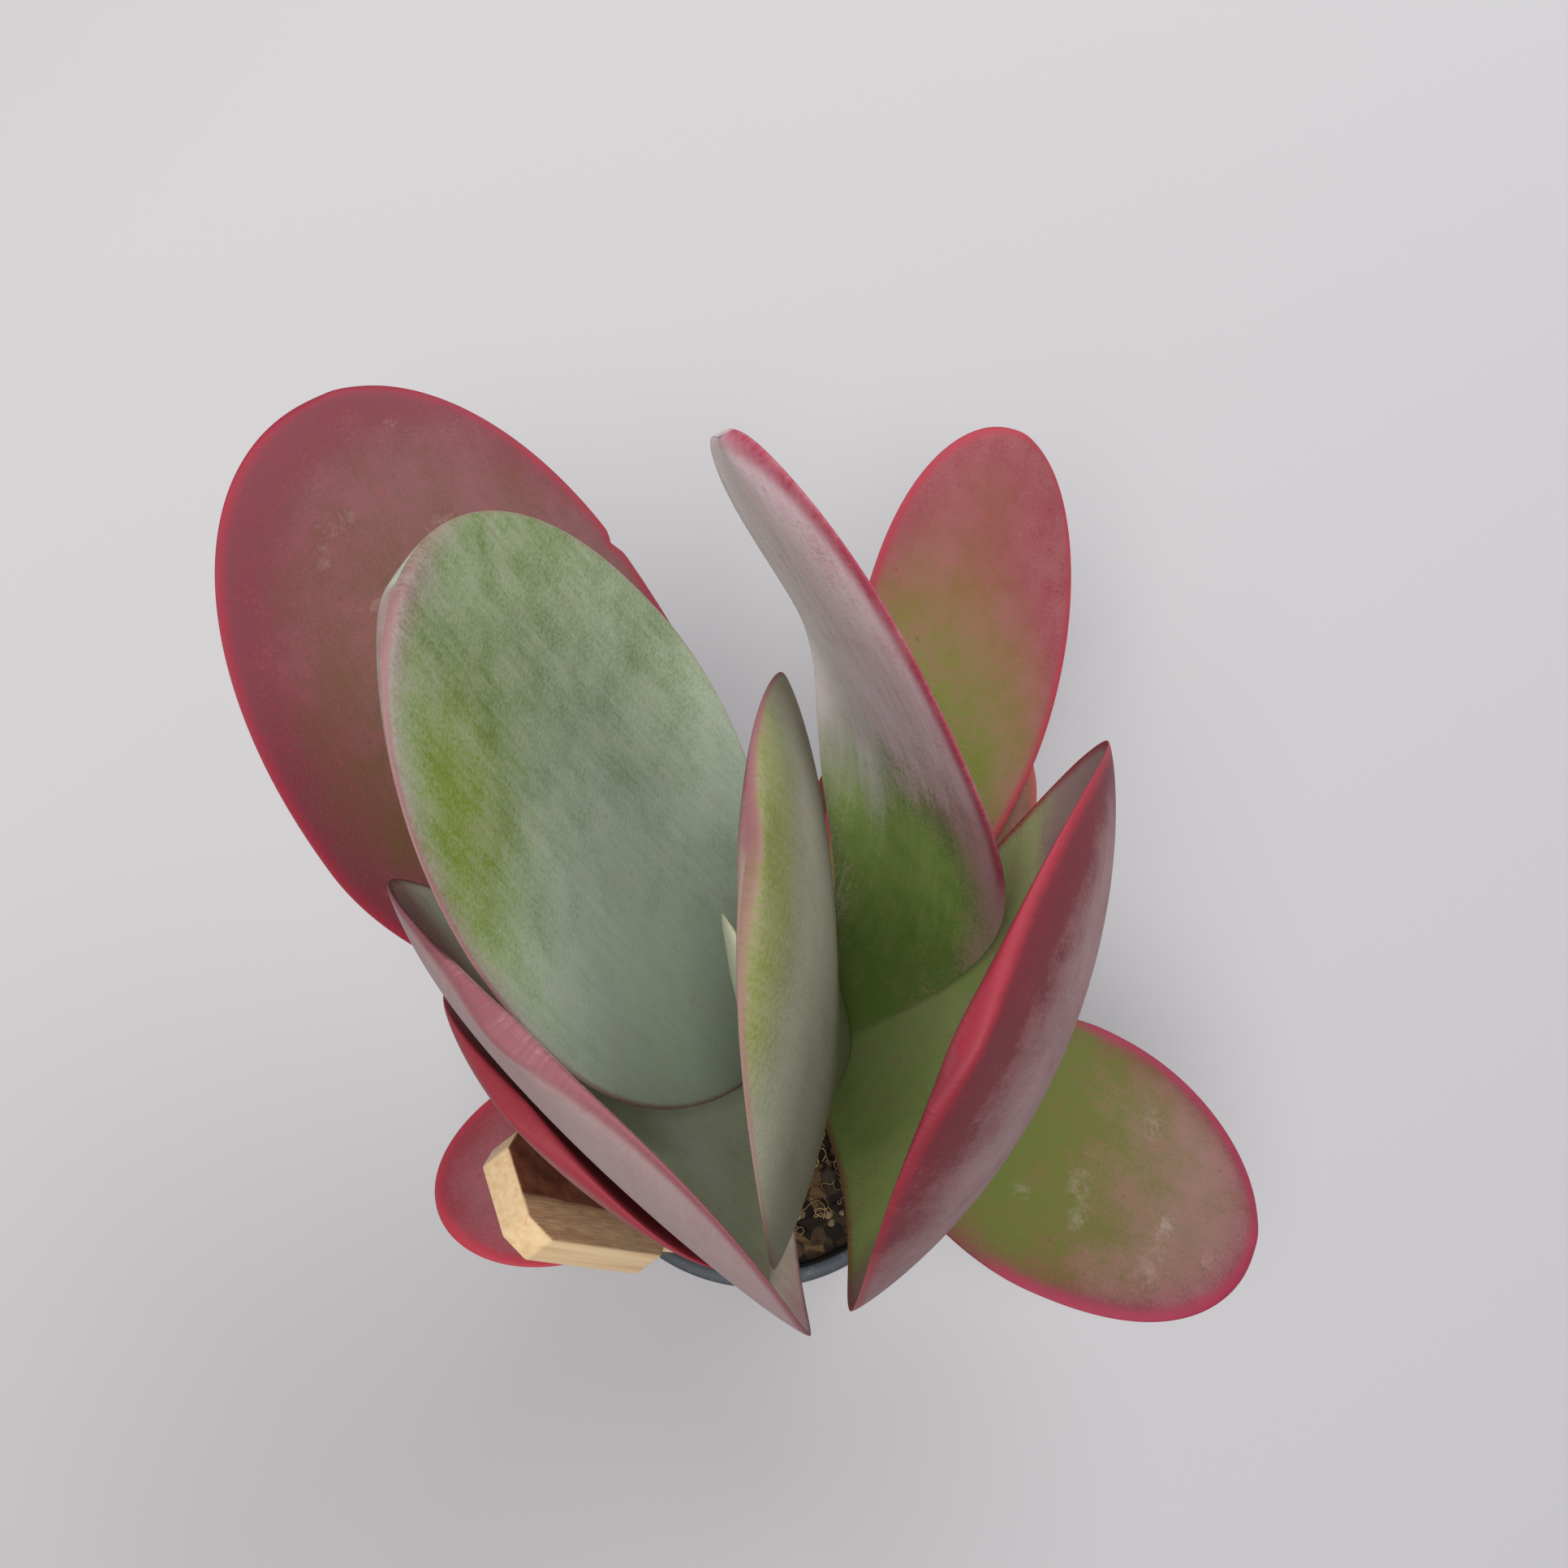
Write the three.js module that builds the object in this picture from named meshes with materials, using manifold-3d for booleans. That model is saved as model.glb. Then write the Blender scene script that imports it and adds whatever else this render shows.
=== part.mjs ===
// Potted paddle plant: fleshy paddle-shaped leaves in crossed pairs on a short stem, standing in the
// soil of a small round nursery pot, with a plain wooden label pushed into the soil.
// Millimetres, +Z up, origin at the centre of the pot's foot.
import * as THREE from "three";
import * as BufferGeometryUtils from "three/addons/utils/BufferGeometryUtils.js";
import Module from "manifold-3d";

const wasm = await Module();
wasm.setup();
const { Manifold, Mesh } = wasm;

const RAD = Math.PI / 180;

// ---- driving dimensions -------------------------------------------------------------------

const GAP = 0.35;                // air left between neighbouring pieces
const LEAF_GAP = 0.5;            // the same around the stem, measured level

const pot = {
  height: 56,
  rimRadius: 28.5,               // outside of the rolled lip
  lipWidth: 2.1,
  lipDrop: 4.5,                  // how far the lip reaches down the wall
  footRadius: 22,
  wall: 1.2,
  floor: 1.6,
  sides: 72,
  drains: 5,
  drainRadius: 2.4,
  drainCircle: 14,
};

const soil = {
  level: 52,                     // mean height of the surface
  lump: 0.9,                     // height of the crumbs
  mound: 0.8,                    // rise towards the stem
  stones: 40,
  stoneSize: [0.8, 1.9],         // smallest and largest radius of the gravel
};

const stem = {
  x: 6,
  y: 5,
  bottom: 32,
  top: 92,
  // [height, radius]: swollen at each pair of leaves, thinning to the growing tip
  outline: [
    [32, 5.6], [50, 6.4], [58, 6.6], [64, 6.0], [70, 5.8],
    [76, 5.2], [82, 4.2], [87, 3.0], [90.5, 1.9],
  ],
};

const label = {
  length: 28,
  width: 16,
  thickness: 5,
  chamfer: 3,
  stickLength: 29.5,
  stickInset: 1.9,               // from the edge of the head to the edge of the stick
  stickWidth: 5,
  stickFoot: 2.2,                // its width at the foot
  stickThickness: 1.8,
  turn: 211,                     // about its own length
  lean: 34,                      // away from upright
  heading: 176,                  // the way it leans
  topAt: [-33.5, -19.7, 94.3],
  stickAt: [1, -23],             // where the stick enters the soil
};

// Shape shared by every blade; a leaf may give its own value for any of them.
const blade = {
  baseWidth: 0.22,               // width where it leaves the stem, as a share of the full width
  widest: 0.6,                   // where along the length it is widest
  fullness: 0.6,                 // 0 waisted towards the stem, 1 full
  tipRound: 2.2,                 // 2 is an ellipse, more is blunter
  skew: 0,                       // shifts the blade sideways off its midrib, as a share of half width
  bend: 0,
  twist: 0,
  roll: 0,
  thickness: 4.6,                // at the base, in the middle
  taper: 0.3,                    // share of the thickness lost by the tip
  from: 5,                       // midrib starts this far out from the stem's axis
  wave: [0, 0, 0],               // height, count and phase of the ripple in the margins
};

// Leaves in pairs from the soil up. Angles in degrees:
// heading  compass direction of the midrib, anticlockwise from +X
// rise     slope of the midrib where it leaves the stem
// arch     how much more it climbs over its first and its second half
// bend     sideways curve of the midrib in the plane of the blade, positive to the left
// roll     tilt of the blade about its midrib at the base; twist is what the length adds
// cup      how far each half of the blade curls up, at the base and at the tip
const leaves = {
  leaf_1a: {
    heading: 207, height: 55.2, rise: 14, arch: [-1.5, 3.5], length: 53.5, width: 32.5, cup: [26, 5.5],
    bend: -6, roll: -12, twist: -11, fullness: 0.35, tipRound: 2.13, skew: -0.02,
  },
  leaf_1b: {
    heading: 61, height: 55.5, rise: 14, arch: [-6, -3.5], length: 59.5, width: 35, cup: [30, 13],
    bend: 4, twist: 3, fullness: 0.35, skew: -0.01,
  },
  leaf_2a: {
    heading: -20.5, height: 60, rise: 12.5, arch: [-11.5, 2], length: 66.5, width: 48.5, cup: [30, 6],
    bend: 3, roll: 21, twist: 9.5, widest: 0.56, fullness: 0.63, tipRound: 2.3, skew: 0.03,
  },
  leaf_3a: {
    heading: 215.5, height: 64, rise: 25.5, arch: [30, 38.5], length: 61, width: 58, cup: [42.5, 5.5],
    bend: 4, roll: -17, twist: 1, skew: 0.01,
  },
  leaf_3b: {
    heading: 63, height: 64, rise: 20, arch: [-11.5, 5], length: 97, width: 40, cup: [33.5, -1],
    bend: 3, roll: -36.5, twist: -4.5, widest: 0.63, fullness: 0.74, skew: 0.03,
  },
  leaf_4a: {
    heading: -20, height: 70, rise: 43, arch: [39.5, 34], length: 102.5, width: 70, cup: [46, 15.5],
    bend: -15, roll: -2.5, twist: 6, fullness: 0.73, tipRound: 2.11, skew: -0.1,
  },
  leaf_4b: {
    heading: 142.5, height: 70, rise: 22, arch: [14, -6], length: 108, width: 61, cup: [25, 10],
    bend: -21.5, roll: -6, twist: -5.5, widest: 0.54, fullness: 0.29, tipRound: 2.34, skew: -0.12,
  },
  leaf_5a: {
    heading: 216.5, height: 76, rise: 34.5, arch: [40, 20.5], length: 86.5, width: 69.5, cup: [12, 10.5],
    bend: -5, roll: 2.5, twist: -16, fullness: 0.56, tipRound: 1.97, skew: -0.02,
  },
  leaf_5b: {
    heading: 40, height: 76, rise: 30.5, arch: [58, 8], length: 100.5, width: 42, cup: [21.5, -7],
    bend: 26.5, roll: 19.5, twist: 0.5, widest: 0.47, fullness: 0.51, tipRound: 1.66, skew: 0.06, wave: [1.05, 1.55, 0.06],
  },
  leaf_6a: {
    heading: -18, height: 82.5, rise: 102.5, arch: [-9, 25], length: 72.5, width: 68.5, cup: [15.5, 14],
    bend: 0.5, roll: -18, twist: 2, widest: 0.53, tipRound: 2.13, skew: 0.05,
  },
  leaf_6b: {
    heading: 154, height: 81.5, rise: 55.5, arch: [5, 2], length: 88, width: 69, cup: [38.5, 4.5],
    bend: -8.5, roll: -21, twist: -10.5, widest: 0.57, fullness: 0.86, tipRound: 2.36,
  },
  leaf_7a: {
    heading: 207.5, height: 89, rise: 71, arch: [13.5, 15.5], length: 38, width: 22, cup: [26, -4],
    bend: -5.5, roll: 7.5, twist: 1.5, widest: 0.62, fullness: 0.58, tipRound: 2.18, skew: 0.01, baseWidth: 0.35, from: 3, thickness: 3.2,
  },
};

// ---- helpers ------------------------------------------------------------------------------

// Numbers in 0..1 that come out the same every time for one seed.
function seededDraws(seed) {
  let state = seed;
  return () => {
    state = (state * 1664525 + 1013904223) % 4294967296;
    return state / 4294967296;
  };
}

function solidOf(geometry) {
  const bare = new THREE.BufferGeometry();
  bare.setAttribute("position", geometry.getAttribute("position"));
  if (geometry.index) {
    bare.setIndex(geometry.index);
  }
  const welded = BufferGeometryUtils.mergeVertices(bare, 1e-4);
  const solid = new Manifold(new Mesh({
    numProp: 3,
    vertProperties: new Float32Array(welded.getAttribute("position").array),
    triVerts: new Uint32Array(welded.index.array),
  }));
  if (solid.status() !== "NoError" || solid.volume() <= 0) {
    throw new Error("open or inside-out piece: " + solid.status());
  }
  return solid;
}

function geometryOf(solid) {
  const mesh = solid.getMesh();
  const geometry = new THREE.BufferGeometry();
  geometry.setAttribute("position", new THREE.BufferAttribute(new Float32Array(mesh.vertProperties), 3));
  geometry.setIndex(new THREE.BufferAttribute(new Uint32Array(mesh.triVerts), 1));
  geometry.computeVertexNormals();
  return geometry;
}

// A turned body about +Z from [radius, height] points, listed anticlockwise.
function turned(points, sides) {
  const profile = points.map(([r, z]) => new THREE.Vector2(r, z));
  const geometry = new THREE.LatheGeometry(profile, sides);
  geometry.rotateX(Math.PI / 2);
  return solidOf(geometry);
}

// ---- pot ----------------------------------------------------------------------------------

function wallRadius(z) {
  // outside of the tapered wall
  const top = pot.rimRadius - 1.2;
  return pot.footRadius + (top - pot.footRadius) * z / pot.height;
}

function makePot() {
  const lipUnder = pot.height - pot.lipDrop;
  const inner = pot.rimRadius - pot.lipWidth;
  const profile = [
    [0, 0],
    [pot.footRadius - 1, 0],
    [pot.footRadius, 1],
    [wallRadius(lipUnder), lipUnder],
    [pot.rimRadius - 0.3, lipUnder + 0.4],
    [pot.rimRadius, lipUnder + 1.2],
    [pot.rimRadius, pot.height - 0.7],
    [pot.rimRadius - 0.6, pot.height],
    [inner + 0.4, pot.height],
    [inner, pot.height - 0.5],
    [wallRadius(lipUnder - 1) - pot.wall, lipUnder - 1],
    [wallRadius(pot.floor + 1.5) - pot.wall, pot.floor + 1.5],
    [wallRadius(pot.floor) - pot.wall - 1.5, pot.floor],
    [0, pot.floor],
  ];
  let body = turned(profile, pot.sides);
  for (let i = 0; i < pot.drains; i += 1) {
    const angle = (i + 0.5) * 2 * Math.PI / pot.drains;
    const drill = new THREE.CylinderGeometry(pot.drainRadius, pot.drainRadius, 3 * pot.floor, 20);
    drill.rotateX(Math.PI / 2);
    drill.translate(pot.drainCircle * Math.cos(angle), pot.drainCircle * Math.sin(angle), pot.floor / 2);
    body = body.subtract(solidOf(drill));
  }
  return body;
}

// ---- stem ---------------------------------------------------------------------------------

function makeStem(extra) {
  const profile = [[0, stem.bottom - extra]];
  for (const [z, r] of stem.outline) {
    profile.push([r + extra, z === stem.bottom ? z - extra : z]);
  }
  profile.push([0, stem.top + extra]);
  const body = turned(profile, 28);
  return body.translate([stem.x, stem.y, 0]);
}

// ---- label --------------------------------------------------------------------------------

// The label lies with its length along +Z, its width along Y and its face towards +X;
// the middle of its top end is at the origin. The stick is let into the face side.
function makeLabel(extra) {
  const half = label.width / 2;
  const c = label.chamfer;
  const outline = new THREE.Shape();
  outline.moveTo(-half + c, 0);
  outline.lineTo(-half, -c);
  outline.lineTo(-half, -label.length + c);
  outline.lineTo(-half + c, -label.length);
  outline.lineTo(half - c, -label.length);
  outline.lineTo(half, -label.length + c);
  outline.lineTo(half, -c);
  outline.lineTo(half - c, 0);
  const head = new THREE.ExtrudeGeometry(outline, {
    depth: label.thickness - 0.8,
    bevelThickness: 0.4,
    bevelSize: 0.4,
    bevelOffset: -0.4,
    bevelSegments: 1,
  });
  head.translate(0, 0, 0.4);
  // shape plane (x, y) becomes (Y, Z); its depth becomes X
  head.rotateY(Math.PI / 2);
  head.rotateX(Math.PI / 2);

  const overlap = 4;
  const stick = new THREE.BoxGeometry(
    label.stickThickness + 2 * extra,
    label.stickWidth + 2 * extra,
    label.stickLength + overlap + 2 * extra,
  );
  const narrowing = (label.stickFoot + 2 * extra) / (label.stickWidth + 2 * extra);
  const corners = stick.attributes.position;
  for (let i = 0; i < corners.count; i += 1) {
    if (corners.getZ(i) < 0) {
      corners.setY(i, corners.getY(i) * narrowing);
    }
  }
  stick.translate(
    label.thickness - 0.3 - label.stickThickness / 2,
    -half + label.stickInset + label.stickWidth / 2,
    -label.length - label.stickLength / 2 + overlap / 2,
  );

  const body = extra > 0 ? solidOf(stick) : solidOf(head).add(solidOf(stick));
  return body
    .rotate([0, 0, label.turn])
    .rotate([0, label.lean, 0])
    .rotate([0, 0, label.heading])
    .translate(label.topAt);
}

// ---- soil ---------------------------------------------------------------------------------

function soilHeight(x, y) {
  const toStem = Math.hypot(x - stem.x, y - stem.y) / 12;
  return soil.level + soil.mound * Math.exp(-toStem * toStem);
}

// Angular gravel half sunk in the surface, clear of the stem and of the label's stick.
function makeGravel(draw) {
  const stones = [];
  while (stones.length < soil.stones) {
    const r = (pot.rimRadius - 6) * Math.sqrt(draw());
    const angle = 2 * Math.PI * draw();
    const x = r * Math.cos(angle);
    const y = r * Math.sin(angle);
    const [small, large] = soil.stoneSize;
    const size = small + (large - small) * draw() ** 2;
    const spin = new THREE.Euler(6 * draw(), 6 * draw(), 6 * draw());
    const nearStem = Math.hypot(x - stem.x, y - stem.y) < 11;
    const nearStick = Math.abs(x - label.stickAt[0]) < 8 && y < label.stickAt[1] + 6;
    if (nearStem || nearStick) {
      continue;
    }
    const stone = new THREE.IcosahedronGeometry(size, 0);
    stone.scale(1, 0.85, 0.7);
    stone.applyMatrix4(new THREE.Matrix4().makeRotationFromEuler(spin));
    stone.translate(x, y, soilHeight(x, y) - 0.1 * size);
    stones.push(solidOf(stone));
  }
  return Manifold.union(stones);
}

function makeSoil() {
  const rings = 13;
  const sides = 54;
  const draw = seededDraws(41);
  const floor = pot.floor + GAP;
  const lipUnder = pot.height - pot.lipDrop - 1;
  const sideRadius = (z) => wallRadius(Math.min(z, lipUnder)) - pot.wall - GAP;
  const edge = sideRadius(soil.level) - 0.1;

  const points = [];
  const top = (ring, side) => 1 + (ring - 1) * sides + (side % sides);
  points.push([0, 0, soil.level]);
  for (let ring = 1; ring <= rings; ring += 1) {
    for (let side = 0; side < sides; side += 1) {
      const r = edge * ring / rings;
      const angle = 2 * Math.PI * (side + 0.5 * (ring % 2)) / sides;
      const x = r * Math.cos(angle);
      const y = r * Math.sin(angle);
      const rim = ring === rings ? -0.6 : 0;
      const crumb = soil.lump * (draw() - 0.5) * 2 * (ring === rings ? 0.4 : 1);
      points.push([x, y, soilHeight(x, y) + crumb + rim]);
    }
  }
  const bottomStart = points.length;
  const bottomRadius = pot.footRadius - pot.wall - GAP - 1.5;
  const shoulderRadius = sideRadius(floor + 1.7) - 0.1;
  for (const [r, z] of [[shoulderRadius, floor + 1.7], [bottomRadius, floor]]) {
    for (let side = 0; side < sides; side += 1) {
      const angle = 2 * Math.PI * (side + 0.5 * (rings % 2)) / sides;
      points.push([r * Math.cos(angle), r * Math.sin(angle), z]);
    }
  }
  points.push([0, 0, floor]);
  const bottomCentre = points.length - 1;

  const faces = [];
  for (let side = 0; side < sides; side += 1) {
    faces.push(0, top(1, side), top(1, side + 1));
    for (let ring = 1; ring < rings; ring += 1) {
      const a = top(ring, side);
      const b = top(ring, side + 1);
      const c = top(ring + 1, side);
      const d = top(ring + 1, side + 1);
      if (ring % 2 === 1) {
        faces.push(a, c, d, a, d, b);
      } else {
        faces.push(a, c, b, b, c, d);
      }
    }
    const next = (side + 1) % sides;
    const loops = [
      [top(rings, side), top(rings, next)],
      [bottomStart + side, bottomStart + next],
      [bottomStart + sides + side, bottomStart + sides + next],
    ];
    for (let i = 0; i < 2; i += 1) {
      const [a, b] = loops[i];
      const [c, d] = loops[i + 1];
      faces.push(a, c, d, a, d, b);
    }
    faces.push(loops[2][0], bottomCentre, loops[2][1]);
  }
  const geometry = new THREE.BufferGeometry();
  geometry.setAttribute("position", new THREE.Float32BufferAttribute(points.flat(), 3));
  geometry.setIndex(faces);
  return solidOf(geometry)
    .add(makeGravel(draw))
    .subtract(makeStem(GAP))
    .subtract(makeLabel(GAP));
}

// ---- leaves -------------------------------------------------------------------------------

// Half width at v (0 base, 1 tip) as a share of the greatest half width.
function outlineAt(v, leaf) {
  if (v < leaf.widest) {
    const u = v / leaf.widest;
    const waisted = u * u * (3 - 2 * u);
    const full = 2 * u - u * u;
    const grow = (1 - leaf.fullness) * waisted + leaf.fullness * full;
    return leaf.baseWidth + (1 - leaf.baseWidth) * grow;
  }
  const u = (v - leaf.widest) / (1 - leaf.widest);
  return Math.sqrt(Math.max(0, 1 - u ** leaf.tipRound));
}

// The midrib as a row of places, each with its own axes: along, side (to the right) and up.
// The axes turn a little at every step: arch lifts, bend swings and twist rolls them.
function midribOf(leaf, steps) {
  const heading = leaf.heading * RAD;
  const rise = leaf.rise * RAD;
  let along = new THREE.Vector3(
    Math.cos(rise) * Math.cos(heading),
    Math.cos(rise) * Math.sin(heading),
    Math.sin(rise),
  );
  let side = new THREE.Vector3(Math.sin(heading), -Math.cos(heading), 0);
  side.applyAxisAngle(along, -leaf.roll * RAD);
  let up = side.clone().cross(along);
  let place = new THREE.Vector3(
    stem.x + leaf.from * Math.cos(heading),
    stem.y + leaf.from * Math.sin(heading),
    leaf.height,
  );
  const [first, second] = leaf.arch.map((a) => a * RAD);
  const stations = [{ place, along, side, up }];
  for (let i = 0; i < steps; i += 1) {
    const v = (i + 0.5) / steps;
    const lift = (3 * first - second + 4 * (second - first) * v) / steps;
    const swing = leaf.bend * RAD / steps;
    const twist = leaf.twist * RAD / steps;
    const nextAlong = along.clone().addScaledVector(up, lift).addScaledVector(side, -swing).normalize();
    const nextSide = side.clone().addScaledVector(along, swing).addScaledVector(up, twist);
    nextSide.addScaledVector(nextAlong, -nextSide.dot(nextAlong)).normalize();
    place = place.clone()
      .addScaledVector(along, 0.5 * leaf.length / steps)
      .addScaledVector(nextAlong, 0.5 * leaf.length / steps);
    along = nextAlong;
    side = nextSide;
    up = side.clone().cross(along);
    stations.push({ place, along, side, up });
  }
  return stations;
}

function stationAt(stations, v) {
  const t = v * (stations.length - 1);
  const i = Math.min(Math.floor(t), stations.length - 2);
  const mix = (key) => stations[i][key].clone().lerp(stations[i + 1][key], t - i);
  return { place: mix("place"), side: mix("side"), up: mix("up") };
}

// Points across the blade, from margin to margin, closer together at the rounded margins.
const ACROSS = [-1, -0.98, -0.9, -0.68, -0.35, 0, 0.35, 0.68, 0.9, 0.98, 1];
const RINGS = 16;

// A blade: the cross-section is an arc (the cup) with a lens-like thickness and rounded
// margins. Both faces share the two rows of margin points, so they close on each other.
function makeLeaf(given) {
  const leaf = { ...blade, ...given };
  const stations = midribOf(leaf, 60);
  const columns = ACROSS.length;
  const inner = columns - 2;
  const points = [];
  for (let ring = 0; ring < RINGS; ring += 1) {
    const v = 1 - (1 - ring / RINGS) ** 1.6;
    const { place, side, up } = stationAt(stations, v);
    const half = leaf.width / 2 * outlineAt(v, leaf);
    const cup = (leaf.cup[0] + (leaf.cup[1] - leaf.cup[0]) * v) * RAD;
    const turnRadius = half / cup;
    const thin = (1 - Math.exp(-half / 2.5)) * (1 - leaf.taper * v);
    const upper = [];
    const lower = [];
    for (const s of ACROSS) {
      const angle = s * cup;
      const ripple = leaf.wave[0] * s * s * Math.min(1, 3 * v)
        * Math.sin(2 * Math.PI * (leaf.wave[1] * v + leaf.wave[2] + 0.25 * s));
      const middle = place.clone()
        .addScaledVector(side, turnRadius * Math.sin(angle) + leaf.skew * half)
        .addScaledVector(up, turnRadius * (1 - Math.cos(angle)) + ripple);
      const outward = up.clone().multiplyScalar(Math.cos(angle)).addScaledVector(side, -Math.sin(angle));
      const lens = 0.72 * (1 - s * s) + 0.28 * Math.sqrt(Math.max(0, 1 - s ** 8));
      const depth = leaf.thickness / 2 * thin * lens;
      upper.push(middle.clone().addScaledVector(outward, depth));
      lower.push(middle.clone().addScaledVector(outward, -depth));
    }
    points.push(...upper, ...lower.slice(1, -1));
  }
  points.push(stations[stations.length - 1].place);
  const tip = points.length - 1;

  const ringStart = (ring) => ring * (columns + inner);
  const upperAt = (ring, j) => ringStart(ring) + j;
  const lowerAt = (ring, j) => {
    const isMargin = j === 0 || j === columns - 1;
    return isMargin ? upperAt(ring, j) : ringStart(ring) + columns + j - 1;
  };
  const faces = [];
  for (let j = 0; j < columns - 1; j += 1) {
    for (let ring = 0; ring < RINGS - 1; ring += 1) {
      const a = upperAt(ring, j);
      const b = upperAt(ring, j + 1);
      const c = upperAt(ring + 1, j);
      const d = upperAt(ring + 1, j + 1);
      faces.push(a, b, d, a, d, c);
      const e = lowerAt(ring, j);
      const f = lowerAt(ring, j + 1);
      const g = lowerAt(ring + 1, j);
      const h = lowerAt(ring + 1, j + 1);
      faces.push(e, h, f, e, g, h);
    }
    const last = RINGS - 1;
    faces.push(upperAt(last, j), upperAt(last, j + 1), tip);
    faces.push(lowerAt(last, j), tip, lowerAt(last, j + 1));
    // close the cut end between the two faces
    if (j > 0) {
      faces.push(upperAt(0, j), lowerAt(0, j), lowerAt(0, j + 1));
    }
    if (j < columns - 2) {
      faces.push(upperAt(0, j), lowerAt(0, j + 1), upperAt(0, j + 1));
    }
  }
  const geometry = new THREE.BufferGeometry();
  geometry.setAttribute("position", new THREE.Float32BufferAttribute(points.flatMap((p) => p.toArray()), 3));
  geometry.setIndex(faces);
  return solidOf(geometry);
}

// ---- assembly -----------------------------------------------------------------------------

const group = new THREE.Group();
group.name = "paddle_plant";

function addPiece(name, solid, colour, roughness) {
  const material = new THREE.MeshStandardMaterial({ color: colour, roughness, metalness: 0 });
  const mesh = new THREE.Mesh(geometryOf(solid), material);
  mesh.name = name;
  group.add(mesh);
}

addPiece("pot", makePot(), "#33363b", 0.5);
addPiece("soil", makeSoil(), "#2b231d", 1.0);
addPiece("stem", makeStem(0), "#6f7f4a", 0.7);
addPiece("plant_label", makeLabel(0), "#d9bb8c", 0.7);

const tones = {
  leaf_1a: "#8f2f3c",
  leaf_1b: "#8a4632",
  leaf_2a: "#8c7a4c",
  leaf_3a: "#9a4550",
  leaf_3b: "#9a6250",
  leaf_4a: "#9a5a5e",
  leaf_4b: "#874a4e",
  leaf_5a: "#86857c",
  leaf_5b: "#6f7a52",
  leaf_6a: "#84866c",
  leaf_6b: "#7e8c76",
  leaf_7a: "#8fa088",
};
const aroundStem = makeStem(LEAF_GAP);
for (const [name, leaf] of Object.entries(leaves)) {
  addPiece(name, makeLeaf(leaf).subtract(aroundStem), tones[name], 0.55);
}

export default group;
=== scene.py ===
# %% [markdown]
# A potted paddle plant: a succulent with thick, paddle-shaped leaves in crossed pairs on a short
# stem. It grows in a small thin-walled nursery pot and has a bare wooden plant label beside it.
# The imported solids give the frame that every piece below is built in.

# %% Load the frame
import bmesh
import bpy
import numpy as np
from math import cos, pi, radians, sin
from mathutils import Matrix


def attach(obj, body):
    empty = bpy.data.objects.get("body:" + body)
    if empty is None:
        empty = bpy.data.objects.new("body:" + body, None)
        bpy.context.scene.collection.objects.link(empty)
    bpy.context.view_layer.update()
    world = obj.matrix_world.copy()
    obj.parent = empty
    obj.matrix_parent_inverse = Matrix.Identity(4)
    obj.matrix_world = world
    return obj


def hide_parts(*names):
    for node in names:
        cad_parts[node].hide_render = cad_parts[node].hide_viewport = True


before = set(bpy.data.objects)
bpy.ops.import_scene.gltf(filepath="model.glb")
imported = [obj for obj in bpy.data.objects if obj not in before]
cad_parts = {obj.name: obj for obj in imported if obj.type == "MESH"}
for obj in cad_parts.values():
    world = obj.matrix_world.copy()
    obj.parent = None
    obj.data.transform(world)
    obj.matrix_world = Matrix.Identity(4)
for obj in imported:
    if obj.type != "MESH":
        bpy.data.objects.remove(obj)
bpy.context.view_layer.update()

MM = 0.001  # the shapes below are in millimetres

# %% [markdown]
# The plant is looked down on from close by, 20 degrees off the vertical, with a slightly wide
# lens. The camera comes first because everything else is judged through it.

# %% Camera
CAMERA_AT = (3.6, -38.1, 299.7)
CAMERA_TILT = 20  # degrees off straight down
camera_data = bpy.data.cameras.new("camera")
camera_data.sensor_width = 36
camera_data.lens = 36.09
camera_data.clip_start = 0.01
camera = bpy.data.objects.new("camera", camera_data)
camera.location = [c * MM for c in CAMERA_AT]
camera.rotation_euler = (radians(CAMERA_TILT), 0, 0)
bpy.context.scene.collection.objects.link(camera)
bpy.context.scene.camera = camera
print("camera at", CAMERA_AT, "mm, lens", round(camera_data.lens, 2), "mm")

# %% [markdown]
# Colours are written the way a paint program shows them and Blender calculates with linear light,
# so one function turns the first into the second. A second function adds any node: its sockets get
# a number, a colour or a link from another node, and it hands back its output. A third function
# turns arrays of points and faces into a mesh object.

# %% Helpers
RGBA = dict(out=2, data_type="RGBA")  # what a Mix node needs so that it mixes colours


def linear(code):
    """Linear colour of an sRGB hex code: ((c + 0.055) / 1.055) to the power 2.4, and c / 12.92 near black."""
    c = np.array([int(code[i:i + 2], 16) for i in (0, 2, 4)]) / 255
    return (*np.where(c > 0.04045, ((c + 0.055) / 1.055) ** 2.4, c / 12.92).tolist(), 1.0)


def add(tree, kind, sockets=None, out=0, stops=None, **settings):
    """Adds a node of one kind, sets its settings and sockets, and returns its output number out."""
    node = tree.nodes.new("ShaderNode" + kind)
    for name, value in settings.items():
        setattr(node, name, value)
    for key, value in (sockets or {}).items():
        if isinstance(value, bpy.types.NodeSocket):
            tree.links.new(value, node.inputs[key])
        else:
            node.inputs[key].default_value = value
    if stops:
        band = node.color_ramp.elements
        while len(band) < len(stops):
            band.new(0.5)
        for element, (place, colour) in zip(band, stops):
            element.position = place
            element.color = colour if len(colour) == 4 else (*colour, 1)
    return node.outputs[out] if node.outputs else node


def new_material(name, roughness, ior=1.45, **sockets):
    """An empty material with one Principled shader, and the two things that its nodes need."""
    material = bpy.data.materials.new(name)
    material.use_nodes = True
    shader = material.node_tree.nodes["Principled BSDF"]
    shader.inputs["Roughness"].default_value = roughness
    shader.inputs["IOR"].default_value = ior
    for key, value in sockets.items():
        shader.inputs[key.replace("_", " ")].default_value = value
    return material, material.node_tree, shader


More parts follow.
